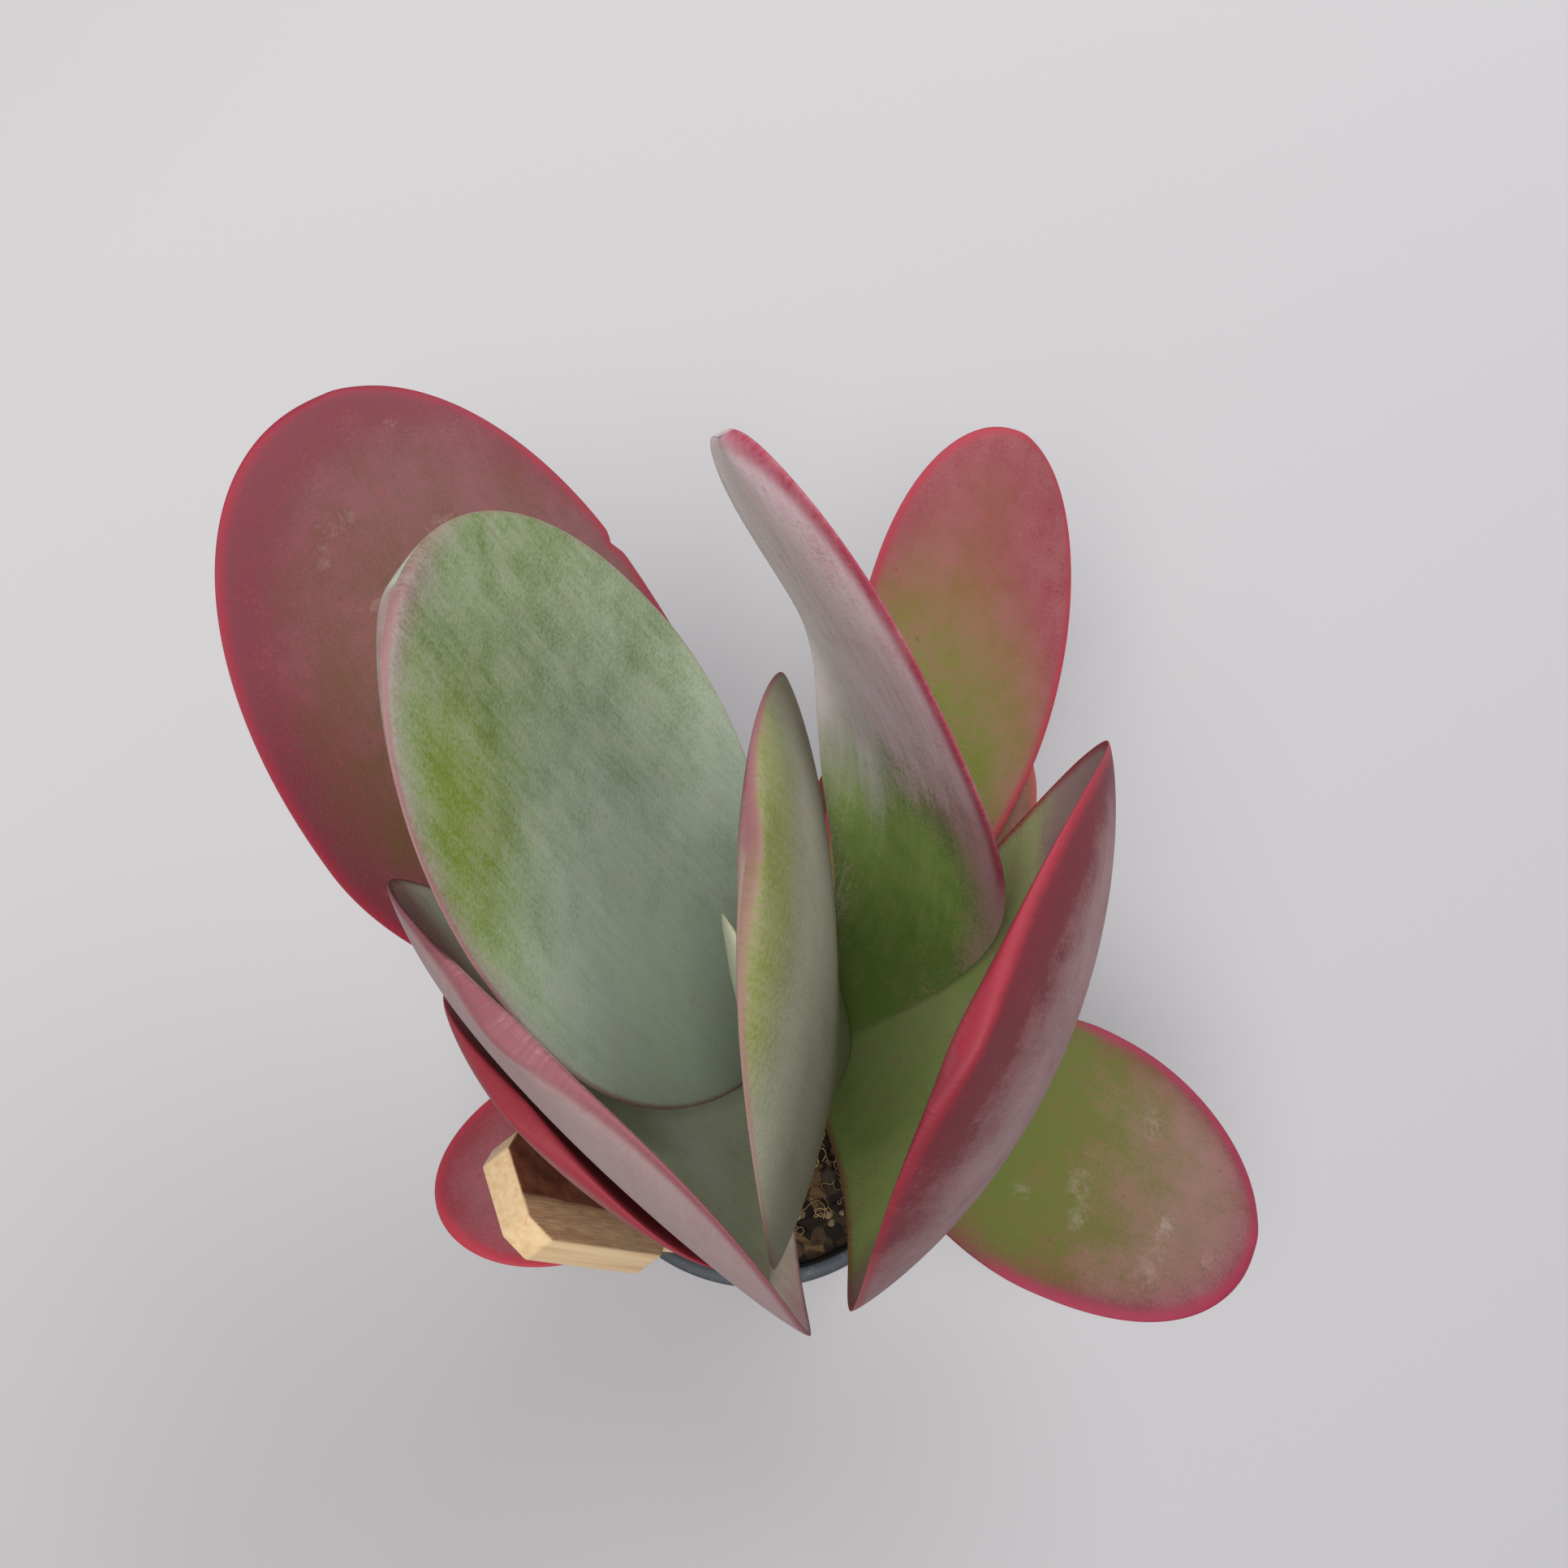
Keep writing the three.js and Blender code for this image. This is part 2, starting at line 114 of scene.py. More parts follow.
def mesh_piece(name, points, faces, smooth=True):
    """A mesh object from an array of points in millimetres and lists of faces."""
    mesh = bpy.data.meshes.new(name)
    mesh.from_pydata((np.asarray(points) * MM).tolist(), [], faces)
    mesh.validate()
    if smooth:
        mesh.shade_smooth()
    piece = bpy.data.objects.new(name, mesh)
    bpy.context.scene.collection.objects.link(piece)
    return piece


def store(piece, name, values, kind="FLOAT", domain="POINT"):
    """Keeps one number, or one vector, for each point of a piece, for its material to read."""
    layer = piece.data.attributes.new(name, kind, domain)
    layer.data.foreach_set("value" if kind == "FLOAT" else "vector", np.asarray(values, np.float32).ravel())


# %% [markdown]
# A paddle leaf is a flat, fleshy blade. Its midrib leaves the stem at an angle and arches on the way
# to the tip, and the blade to both sides of it is cupped like a shallow spoon. It could be sculpted
# from a plane. Here it is a surface over two numbers instead: v runs from base to tip, and s runs
# round the blade, from its left margin over the upper face to its right margin and back underneath.
# The same few numbers that shape the solids then shape the finished leaf, with many more points.
# Each leaf's numbers were not chosen one by one: a separate program fitted this surface to points on
# the leaf's outline, and its results were rounded and copied here and into the solids' source.

# %% The leaves' shapes
STEM_AT = (6.0, 5.0)
USUAL = dict(base=0.22, widest=0.6, fullness=0.6, tip_round=2.2, skew=0.0, bend=0.0, roll=0.0,
             twist=0.0, thick=4.6, start=5.0, wave=(0.0, 2.0, 0.0))
SHAPES = {
    "leaf_1a": dict(
        heading=207, height=55.2, rise=14, arch=(-1.5, 3.5), length=53.5, width=32.5, cup=(26, 5.5),
        bend=-6, roll=-12, twist=-11, fullness=0.35, tip_round=2.13, skew=-0.02),
    "leaf_1b": dict(
        heading=61, height=55.5, rise=14, arch=(-6, -3.5), length=59.5, width=35, cup=(30, 13), bend=4,
        twist=3, fullness=0.35, skew=-0.01),
    "leaf_2a": dict(
        heading=-20.5, height=60, rise=12.5, arch=(-11.5, 2), length=66.5, width=48.5, cup=(30, 6), bend=3,
        roll=21, twist=9.5, widest=0.56, fullness=0.63, tip_round=2.3, skew=0.03),
    "leaf_3a": dict(
        heading=215.5, height=64, rise=25.5, arch=(30, 38.5), length=61, width=58, cup=(42.5, 5.5), bend=4,
        roll=-17, twist=1, skew=0.01),
    "leaf_3b": dict(
        heading=63, height=64, rise=20, arch=(-11.5, 5), length=97, width=40, cup=(33.5, -1), bend=3,
        roll=-36.5, twist=-4.5, widest=0.63, fullness=0.74, skew=0.03),
    "leaf_4a": dict(
        heading=-20, height=70, rise=43, arch=(39.5, 34), length=102.5, width=70, cup=(46, 15.5), bend=-15,
        roll=-2.5, twist=6, fullness=0.73, tip_round=2.11, skew=-0.1),
    "leaf_4b": dict(
        heading=142.5, height=70, rise=22, arch=(14, -6), length=108, width=61, cup=(25, 10), bend=-21.5,
        roll=-6, twist=-5.5, widest=0.54, fullness=0.29, tip_round=2.34, skew=-0.12,
        nicks=[(1, 0.674, 0.8, 1.2)]),
    "leaf_5a": dict(
        heading=216.5, height=76, rise=34.5, arch=(40, 20.5), length=86.5, width=69.5, cup=(12, 10.5),
        bend=-5, roll=2.5, twist=-16, fullness=0.56, tip_round=1.97, skew=-0.02),
    "leaf_5b": dict(
        heading=40, height=76, rise=30.5, arch=(58, 8), length=100.5, width=42, cup=(21.5, -7), bend=26.5,
        roll=19.5, twist=0.5, widest=0.47, fullness=0.51, tip_round=1.66, skew=0.06, wave=(1.05, 1.55, 0.06)),
    "leaf_6a": dict(
        heading=-18, height=82.5, rise=102.5, arch=(-9, 25), length=72.5, width=68.5, cup=(15.5, 14),
        bend=0.5, roll=-18, twist=2, widest=0.53, tip_round=2.13, skew=0.05),
    "leaf_6b": dict(
        heading=154, height=81.5, rise=55.5, arch=(5, 2), length=88, width=69, cup=(38.5, 4.5), bend=-8.5,
        roll=-21, twist=-10.5, widest=0.57, fullness=0.86, tip_round=2.36),
    "leaf_7a": dict(
        heading=207.5, height=89, rise=71, arch=(13.5, 15.5), length=38, width=22, cup=(26, -4), bend=-5.5,
        roll=7.5, twist=1.5, widest=0.62, fullness=0.58, tip_round=2.18, skew=0.01, base=0.35, start=3,
        thick=3.2),
}
print(len(SHAPES), "leaves, longest", max(s["length"] for s in SHAPES.values()), "mm")


# %% The outline and the midrib
def unit(a):
    """The same direction, one long."""
    return a / np.linalg.norm(a)


def outline_share(v, leaf):
    """Half width at v as a share of the widest half width: a soft rise from the base, then a rounded
    end, the square root of 1 - q to the power tip_round, where q runs from the widest place to the tip."""
    u = np.clip(v / leaf["widest"], 0, 1)
    rise = (1 - leaf["fullness"]) * u * u * (3 - 2 * u) + leaf["fullness"] * (2 * u - u * u)
    q = np.clip((v - leaf["widest"]) / (1 - leaf["widest"]), 0, 1)
    end = np.sqrt(np.clip(1 - q ** leaf["tip_round"], 0, 1))
    return np.where(v < leaf["widest"], leaf["base"] + (1 - leaf["base"]) * rise, end)


def midrib(leaf, v, steps=240):
    """Walks along the midrib in equal steps, turning its forward, right and up directions a little at
    each, and returns the place and those directions at every v."""
    heading, rise, roll = (radians(leaf[k]) for k in ("heading", "rise", "roll"))
    half_way, at_tip = (radians(a) for a in leaf["arch"])
    turn_start, turn_gain = 3 * half_way - at_tip, 4 * (at_tip - half_way)
    ahead = np.array([cos(rise) * cos(heading), cos(rise) * sin(heading), sin(rise)])
    level = np.array([sin(heading), -cos(heading), 0])
    above = np.cross(level, ahead)
    right = level * cos(roll) + above * sin(roll)
    up = above * cos(roll) - level * sin(roll)
    place = np.array([STEM_AT[0] + leaf["start"] * cos(heading), STEM_AT[1] + leaf["start"] * sin(heading),
                      leaf["height"]])
    walk = [(place, ahead, right, up)]
    for step in range(steps):
        arch = (turn_start + turn_gain * (step + 0.5) / steps) / steps
        bend, twist = radians(leaf["bend"]) / steps, radians(leaf["twist"]) / steps
        next_ahead = unit(ahead + up * arch - right * bend)
        right = right + ahead * bend + up * twist
        right = unit(right - next_ahead * (right @ next_ahead))
        place = place + (ahead + next_ahead) / 2 * leaf["length"] / steps
        ahead, up = next_ahead, np.cross(right, next_ahead)
        walk.append((place, ahead, right, up))
    walked = np.linspace(0, 1, steps + 1)
    columns = np.array(walk).reshape(steps + 1, 12)
    return np.stack([np.interp(v, walked, column) for column in columns.T], -1).reshape(-1, 4, 3)


print("widest share at mid leaf", float(np.round(outline_share(0.5, USUAL), 3)))


# %% [markdown]
# Across the blade each station is an arc of a circle, bent by the cup angle, and its thickness falls
# from the middle to a blunt, rounded margin. The two faces share their margin points, so the shell
# is closed there, the tip is one shared point and the base is capped inside the stem.

# %% A blade as a surface
RINGS, SIDE = 112, 45  # stations from base to tip, points from margin to margin
UNEVENNESS = 0.16  # mm, because no fleshy blade is quite even


def blade_grid():
    """The two parameters on the grid: v crowds towards the tip and s, a sine, towards the margins."""
    t = np.linspace(0, 1, RINGS)
    v = 1 - (1 - t) ** 1.6
    across = np.sin(np.linspace(-pi / 2, pi / 2, SIDE))
    s = np.concatenate([across, across[-2:0:-1]])
    face = np.concatenate([np.ones(SIDE), -np.ones(SIDE - 2)])
    face[[0, SIDE - 1]] = 0
    return np.meshgrid(v, s, indexing="ij"), np.broadcast_to(face, (RINGS, s.size))


def blade_points(leaf, v, s, face):
    """Place = midrib + right * R sin(a) + up * R (1 - cos(a)), where a = s * cup and R = half width / cup,
    moved along the arc's normal by half the thickness: 0.72 (1 - s^2) + 0.28 sqrt(1 - s^8) of the
    thickness in the middle. A nick takes a small bell-shaped bite out of the half width."""
    half = leaf["width"] / 2 * outline_share(v, leaf)
    for side, at, depth, span in leaf.get("nicks", ()):
        half = half - depth * np.exp(-((v - at) * leaf["length"] / span) ** 2) * np.clip(side * s, 0, 1) ** 8
    cup = np.radians(leaf["cup"][0] + (leaf["cup"][1] - leaf["cup"][0]) * v)
    cup = np.where(np.abs(cup) < 1e-3, 1e-3, cup)
    arc, radius = s * cup, half / cup
    lateral = radius * np.sin(arc) + leaf["skew"] * half
    height, times, shift = leaf["wave"]
    ripple = np.sin(2 * pi * (times * v + shift + s / 4)) * np.clip(3 * v, 0, 1)
    uneven = UNEVENNESS * np.sin(9 * v + 3 * s + leaf["heading"]) * (0.3 + s * s) * np.clip(4 * v, 0, 1)
    lift = radius * (1 - np.cos(arc)) + height * s * s * ripple + uneven
    place, _, right, up = np.moveaxis(midrib(leaf, v[:, 0]), 1, 0)[:, :, None, :]
    normal = up * np.cos(arc)[..., None] - right * np.sin(arc)[..., None]
    body = 0.72 * (1 - s * s) + 0.28 * np.sqrt(np.clip(1 - s ** 8, 0, 1))
    thick = leaf["thick"] / 2 * (1 - 0.3 * v) * (1 - np.exp(-half / 2.5)) * body * face
    return place + right * lateral[..., None] + up * lift[..., None] + normal * thick[..., None], half


def margin_distance(leaf, v, s, half):
    """Millimetres from each point to the margin: straight across, or along the blade near the tip."""
    y = s * half
    slope = np.gradient(half[:, 0], v[:, 0] * leaf["length"] + 1e-9)[:, None]
    ahead = (half ** 2 - y ** 2) / (2 * np.sqrt((half * slope) ** 2 + y ** 2) + 1e-6)
    return np.clip(np.minimum(half - np.abs(y), np.where(v > 0.4, ahead, 1e3)), 0, None)


def blade_faces(columns):
    """Quads between rings, triangles round the tip, and strips between the two rows at the base."""
    ring, j = np.meshgrid(np.arange(RINGS - 2), np.arange(columns), indexing="ij")
    k = (j + 1) % columns
    here, beyond = ring * columns, (ring + 1) * columns
    quads = np.stack([here + j, here + k, beyond + k, beyond + j], -1)
    last, j = (RINGS - 2) * columns, np.arange(columns)
    tip = np.stack([last + j, last + (j + 1) % columns, np.full(columns, (RINGS - 1) * columns)], -1)
    j = np.arange(1, SIDE - 2)
    strips = np.stack([j, (columns - j) % columns, columns - j - 1, j + 1], -1)
    ends = [[0, columns - 1, 1], [SIDE - 2, SIDE, SIDE - 1]]
    return quads.reshape(-1, 4).tolist() + tip.tolist() + strips.tolist() + ends


# %% [markdown]
# Bright sun turns a paddle plant red from its margins and tips inwards, its shaded middle stays
# green, and a powdery wax bloom dulls both where nothing has rubbed it off. So a leaf is not painted
# with one gradient: four amounts are worked out at each point, red, yellow, wax and rim, each a sum
# of simple terms, and its skin mixes real pigment colours by them.

# %% Terms of the pigment amounts
def tip(c, start, end, amount):
    """A soft step from start to end along the leaf."""
    q = np.clip((c["v"] - start) / (end - start), 0, 1)
    return amount * q * q * (3 - 2 * q)


def side(c, amount):
    """A slope from the left margin, minus, to the right margin, plus."""
    return amount * c["s"]


def margin(c, width, amount, lean=0.0):
    """A fade inwards from the margin, stronger on the right for a positive lean."""
    return amount * np.exp(-c["edge"] / width) * (1 + lean * c["s"])


def patch(c, s, v, wide, long, amount):
    """A soft oval spot."""
    return amount * np.exp(-((c["s"] - s) / wide) ** 2 - ((c["v"] - v) / long) ** 2)


def amount_of(c, terms):
    """The sum of a list of terms: bare numbers, or a function above with its numbers."""
    total = sum(t if np.isscalar(t) else t[0](c, *t[1:]) for t in terms)
    return np.clip(total + 0 * c["v"], -1, 2)


def rim_of(c, width, left, right):
    """The thin coloured line on the margin itself, with its own strength to the left and right."""
    strength = (left * (1 - c["s"]) + right * (1 + c["s"])) / 2
    return np.clip(strength * np.exp(-(c["edge"] / width) ** 3), 0, 1)


# %% [markdown]
# Each leaf has grown in other light, so each gets its own pigments and amounts. The upper and the
# lower face differ as well: the lower ones are duller and keep most of their wax. The pigment colours
# follow colours measured on each leaf, with the light's share divided out, and several corrections.
# Some faces that lie deep in shade are made paler still, as painted light.

# %% Each leaf's colouring
RED_BACK = dict(red=[0.6, (tip, 0.3, 0.9, 0.25), (margin, 5, 0.3)], yellow=[0.15],
                wax=[0.5, (margin, 6, -0.3)])
GREEN_BACK = dict(red=[(tip, 0.75, 1, 0.3), (margin, 3, 0.4)], yellow=[0.3], wax=[0.5])
COATS = {
    "leaf_4b": dict(
        green="594c27", yellow="645033", red="6c2a35", rim="8a1f33", wax="7f6665", streak=0.6, freckle=0.8,
        line=(1.2, 0.9, 0.8), mottle=(0.9, 0.9),
        scuffs_and_glints=[(-0.22, 0.856, 0.2, 0.02), (-0.38, 0.82, 0.12, 0.02), (-0.22, 0.755, 0.14, 0.02),
                (0.31, 0.806, 0.16, 0.02), (0.42, 0.938, 0.1, 0.012)],
        upper=dict(red=[0.3, (tip, 0.5, 0.95, 0.4), (margin, 7, 0.7, -0.3)],
                   yellow=[0.4],
                   wax=[0.2, (tip, 0.9, 1, -0.2), (margin, 6, -0.3), (side, 0.15),
                        (patch, 0.9, 0.6, 0.4, 0.15, 0.3)]),
        lower=RED_BACK),
    "leaf_6b": dict(
        green="5a6a40", yellow="6d7d20", red="7a5250", rim="885a5e", wax="aebcac", streak=1.0, freckle=0.4,
        line=(0.5, 0.8, 0.2), mottle=(0.9, 0.8),
        upper=dict(red=[-0.2, (tip, 0.93, 1, 0.7), (margin, 2, 0.8, -0.6)],
                   yellow=[0.1, (patch, -0.6, 0.8, 0.5, 0.17, 0.6), (patch, -0.9, 0.62, 0.25, 0.2, 0.4),
                           (tip, 0.6, 0.9, 0.25)],
                   # The wax thins towards the right and in a patch at mid leaf on the right: partly the
                   # leaf's own bloom, partly painted shade that damps the side light's highlight there.
                   wax=[0.95, (tip, 0.35, 0.8, -0.65), (side, -0.12), (patch, -0.6, 0.82, 0.6, 0.14, -0.3),
                        (patch, 0.8, 0.47, 0.6, 0.15, -0.4)]),
        lower=dict(red=[0.0], yellow=[0.0], wax=[0.9])),
    "leaf_6a": dict(
        green="656c48", yellow="727c2c", red="8c5a58", rim="84545a", wax="a3a494", streak=0.6, freckle=0.2,
        line=(0.45, 0.9, 0.5), mottle=(0.6, 0.6),
        upper=dict(red=[0.0, (margin, 2, 0.5)], yellow=[0.3], wax=[0.8]),
        lower=dict(red=[-0.1, (margin, 0.8, 0.6)],
                   yellow=[-0.3, (tip, 0.82, 0.94, 1.0)],
                   wax=[0.6, (tip, 0.8, 0.95, -0.45)])),
    "leaf_5b": dict(
        green="597032", yellow="a3bd66", red="b4848e", rim="96384c", wax="ece0e8", streak=1.2, freckle=0.5,
        line=(1.5, 0.0, 0.95), line_fades=0.42, mottle=(0.8, 0.7),
        upper=dict(red=[-0.6, (tip, 0.26, 0.64, 1.5), (side, 0.3), (patch, 1, 0.33, 0.3, 0.2, 0.7)],
                   yellow=[0.0, (patch, -0.8, 0.37, 0.6, 0.17, 0.9), (patch, 0.3, 0.36, 0.6, 0.12, 0.35)],
                   wax=[-0.25, (tip, 0.3, 0.65, 0.85), (patch, -0.9, 0.5, 0.4, 0.14, 0.5),
                        (patch, -0.35, 0.42, 0.15, 0.1, 0.45), (side, -0.34)]),
        lower=GREEN_BACK),
    "leaf_3b": dict(
        green="606620", yellow="777d28", red="82303c", rim="9a2a3c", wax="94766f", streak=0.4, freckle=0.8,
        line=(1.3, 0.9, 0.9), mottle=(0.4, 0.8),
        upper=dict(red=[-0.2, (tip, 0.42, 0.85, 1.05), (margin, 6, 0.6), (side, 0.18)],
                   yellow=[0.6, (side, -0.3)],
                   wax=[0.18]),
        lower=RED_BACK),
    "leaf_1b": dict(
        green="6a5030", yellow="75603a", red="66382f", rim="8c3d35", wax="8d7a66", streak=0.3, freckle=0.3,
        line=(1.0, 1, 1), mottle=(1, 1),
        upper=dict(red=[0.3, (tip, 0.3, 0.9, 0.5)], yellow=[0.2], wax=[0.08]),
        lower=RED_BACK),
    "leaf_4a": dict(
        green="7c9354", yellow="bac87a", red="621e28", rim="8c2232", wax="967c7d", streak=0.9, freckle=0.2,
        line=(1.0, 1, 0.6), mottle=(1, 1.2),
        upper=dict(red=[-0.1, (tip, 0.4, 0.7, 0.3), (tip, 0.72, 0.95, 0.9), (margin, 4, 0.2)],
                   yellow=[0.2, (patch, 0, 0.4, 1, 0.15, 0.5)],
                   wax=[0.1, (tip, 0.4, 0.55, 1.0), (side, -0.2), (tip, 0.85, 0.97, -0.8)]),
        lower=dict(red=[1.6], yellow=[-0.6], wax=[0.82, (tip, 0.8, 0.96, -0.7), (margin, 6, -0.7, -0.7)])),
    "leaf_2a": dict(
        green="4c560a", yellow="5a5012", red="64222a", rim="84203a", wax="8c746d", streak=0.3, freckle=0.8,
        line=(1.8, 0.9, 1), line_fades=0.48, mottle=(0.5, 0.8),
        scuffs_and_glints=[(0.37, 0.49, 0.16, 0.04), (0.42, 0.62, 0.14, 0.04), (0.6, 0.78, 0.3, 0.06),
                (0.12, 0.6, 0.2, 0.05), (-0.53, 0.72, 0.25, 0.05), (0.2, 0.8, 0.16, 0.03),
                (0.45, 0.9, 0.2, 0.03)],
        upper=dict(red=[-0.25, (tip, 0.4, 0.95, 0.85), (side, 0.1), (margin, 3.5, 1.0)],
                   yellow=[0.0, (tip, 0.4, 0.65, 0.4)],
                   wax=[-0.2, (tip, 0.4, 0.9, 0.6), (margin, 2, -0.6)]),
        lower=RED_BACK),
    # leaf_5a's upper face lies deep in shade between the leaves: its near-white green and pale pink yellow
    # are painted light that lifts that face.
    "leaf_5a": dict(
        green="eaf2d6", yellow="c4979a", red="875755", rim="804a52", wax="a28e8f", streak=0.8, freckle=0.3,
        line=(0.7, 1, 1), mottle=(0.7, 0.9), scuff_and_glint_tone="ffffff",
        # These white spots are painted highlights on the upper face.
        scuffs_and_glints=[(-0.15, 0.385, 0.3, 0.06), (-0.31, 0.33, 0.3, 0.06), (-0.5, 0.45, 0.3, 0.1)],
        upper=dict(red=[-0.4, (tip, 0.55, 0.85, 0.6)],
                   yellow=[-0.5, (tip, 0.55, 0.8, 1.5), (patch, -1, 0.5, 0.28, 0.4, 1.5)],
                   wax=[-0.5, (tip, 0.6, 0.85, 0.6)]),
        lower=dict(red=[1.6], yellow=[-0.5], wax=[0.85, (margin, 3, -0.2)])),
    "leaf_3a": dict(
        green="6a3a2a", yellow="7d4a34", red="821f28", rim="8f2c38", wax="9c7470", streak=0.6, freckle=0.2,
        line=(1.4, 1, 1), mottle=(1, 1),
        upper=dict(red=[0.8], yellow=[0.1], wax=[0.0, (side, 0.25)]),
        lower=dict(red=[1.6], yellow=[0.0], wax=[0.75, (margin, 5, -0.5)])),
    "leaf_1a": dict(
        green="6a5139", yellow="7d6446", red="8c3540", rim="a83040", wax="946c72", streak=0.3, freckle=0.6,
        line=(1.3, 1, 1), mottle=(0.8, 0.8),
        upper=dict(red=[0.7, (tip, 0.4, 0.9, 0.2), (margin, 5, 0.3)],
                   yellow=[0.1],
                   wax=[0.55, (margin, 4, -0.7), (side, -0.1)]),
        lower=RED_BACK),
    # leaf_7a is a young leaf deep in the centre: its pale colours are partly its own and partly painted light
    # that lifts the shade there.
    "leaf_7a": dict(
        green="bcc09f", yellow="c8ccaa", red="a08a7c", rim="d6d2b8", wax="daddcd", streak=0.4, freckle=0.1,
        line=(0.8, 0.9, 0.9), mottle=(1, 1),
        upper=dict(red=[0.0], yellow=[0.3], wax=[0.3]),
        lower=dict(red=[0.0], yellow=[0.2], wax=[0.5])),
}
print(len(COATS), "coats, with scuffs on", [name for name, coat in COATS.items() if "scuffs_and_glints" in coat])


# %% [markdown]
# The skin of a leaf is a waxy cuticle: IOR about 1.4, and a dull sheen, with roughness from 0.62 where
# it is bare to 0.8 under thick wax. Fine streaks run along the leaf, about 1.2 mm wide and 10 mm
# long, and there are clouds of colour about 6 mm wide, blots of 14 mm and dark freckles some 3 mm
# apart. The grain is drawn half a millimetre wide, coarser than the real cells, so that it shows. The
# blade's UV map holds the distance across and along the leaf, in decimetres, so these sizes are the
# noise textures' scales.

# %% Skin of a leaf
def leaf_skin(name, coat):
    """Living cuticle: green, yellow and red pigments mixed by amount, a rim line, and wax on top."""
    material, tree, shader = new_material("succulent_leaf_" + name, 0.5, ior=1.4, Subsurface_Weight=0.06,
                                          Subsurface_Radius=(1.0, 0.6, 0.25), Subsurface_Scale=0.002)
    place = add(tree, "UVMap", uv_map="blade")
    lengthwise = add(tree, "Mapping", {"Vector": place, "Scale": (100 / 1.2, 100 / 10, 1)})
    streaks = add(tree, "TexNoise", {"Vector": lengthwise, "Scale": 1, "Detail": 4, "Roughness": 0.6})
    clouds = add(tree, "TexNoise", {"Vector": place, "Scale": 100 / 6, "Detail": 5, "Roughness": 0.65})
    blots = add(tree, "TexNoise", {"Vector": place, "Scale": 100 / 14, "Detail": 3, "Distortion": 0.6})
    grain = add(tree, "TexNoise", {"Vector": place, "Scale": 100 / 0.5, "Detail": 2, "Roughness": 0.7})
    freckles = add(tree, "TexVoronoi", {"Vector": place, "Scale": 100 / 3, "Randomness": 1})
    amounts = {}
    mottle, bloom = coat["mottle"]
    wobble = {"red": (0.25 * coat["streak"], 0.8 * mottle, 0.5 * mottle, 1.1),
              "yellow": (0.25 * coat["streak"], 0.7 * mottle, 0.7 * mottle, 0.5),
              "wax": (0.4 * coat["streak"], 0.9 * bloom, 0.5 * bloom, 0.7), "rim": (0, 0.8, 0, 0.5)}
    for key, weights in wobble.items():
        amount = add(tree, "Attribute", attribute_name=key, out=2)
        for pattern, weight in zip((streaks, clouds, blots, grain), weights):
            shifted = add(tree, "Math", {0: pattern, 1: 0.5}, operation="SUBTRACT")
            scaled = add(tree, "Math", {0: shifted, 1: weight}, operation="MULTIPLY")
            amount = add(tree, "Math", {0: amount, 1: scaled}, operation="ADD", use_clamp=pattern == grain)
        amounts[key] = amount
    colour = linear(coat["green"])
    for key in ("yellow", "red", "wax", "rim"):
        colour = add(tree, "Mix", {0: amounts[key], 6: colour, 7: linear(coat[key])}, **RGBA)
    # Scuffs and glints: pale spots of rubbed-off wax on most leaves, and on leaf_5a white spots that are
    # painted highlights.
    marks = add(tree, "Attribute", attribute_name="scuff_and_glint", out=2)
    ragged = add(tree, "TexNoise", {"Vector": place, "Scale": 100 / 2, "Detail": 8, "Roughness": 0.78})
    ragged = add(tree, "Math", {0: ragged, 1: 3.0, 2: -1.5}, operation="MULTIPLY_ADD")
    ragged = add(tree, "Math", {0: ragged, 1: marks}, operation="ADD")
    ragged = add(tree, "MapRange", {0: ragged, 1: 0.75, 2: 1.7, 3: 0, 4: 0.38})
    ragged = add(tree, "Math", {0: ragged, 1: marks}, operation="MULTIPLY")
    scuff_and_glint_colour = linear(coat.get("scuff_and_glint_tone", "a79896"))
    colour = add(tree, "Mix", {0: ragged, 6: colour, 7: scuff_and_glint_colour}, **RGBA)
    spot = add(tree, "Math", {0: freckles, 1: 0.13}, operation="LESS_THAN")
    few = add(tree, "Math", {0: clouds, 1: 0.54}, operation="GREATER_THAN")
    dark = add(tree, "Math", {0: spot, 1: few}, operation="MULTIPLY")
    dark = add(tree, "Math", {0: dark, 1: 0.35 * coat["freckle"]}, operation="MULTIPLY")
    colour = add(tree, "Mix", {0: dark, 6: colour, 7: linear("4a2c2a")}, **RGBA)
    tree.links.new(colour, shader.inputs["Base Color"])
    dull = add(tree, "MapRange", {0: amounts["wax"], 3: 0.62, 4: 0.8})
    tree.links.new(dull, shader.inputs["Roughness"])
    relief = add(tree, "Math", {0: streaks, 1: grain}, operation="ADD")
    bump = add(tree, "Bump", {"Height": relief, "Strength": 0.5, "Distance": 0.00012})
    tree.links.new(bump, shader.inputs["Normal"])
    return material


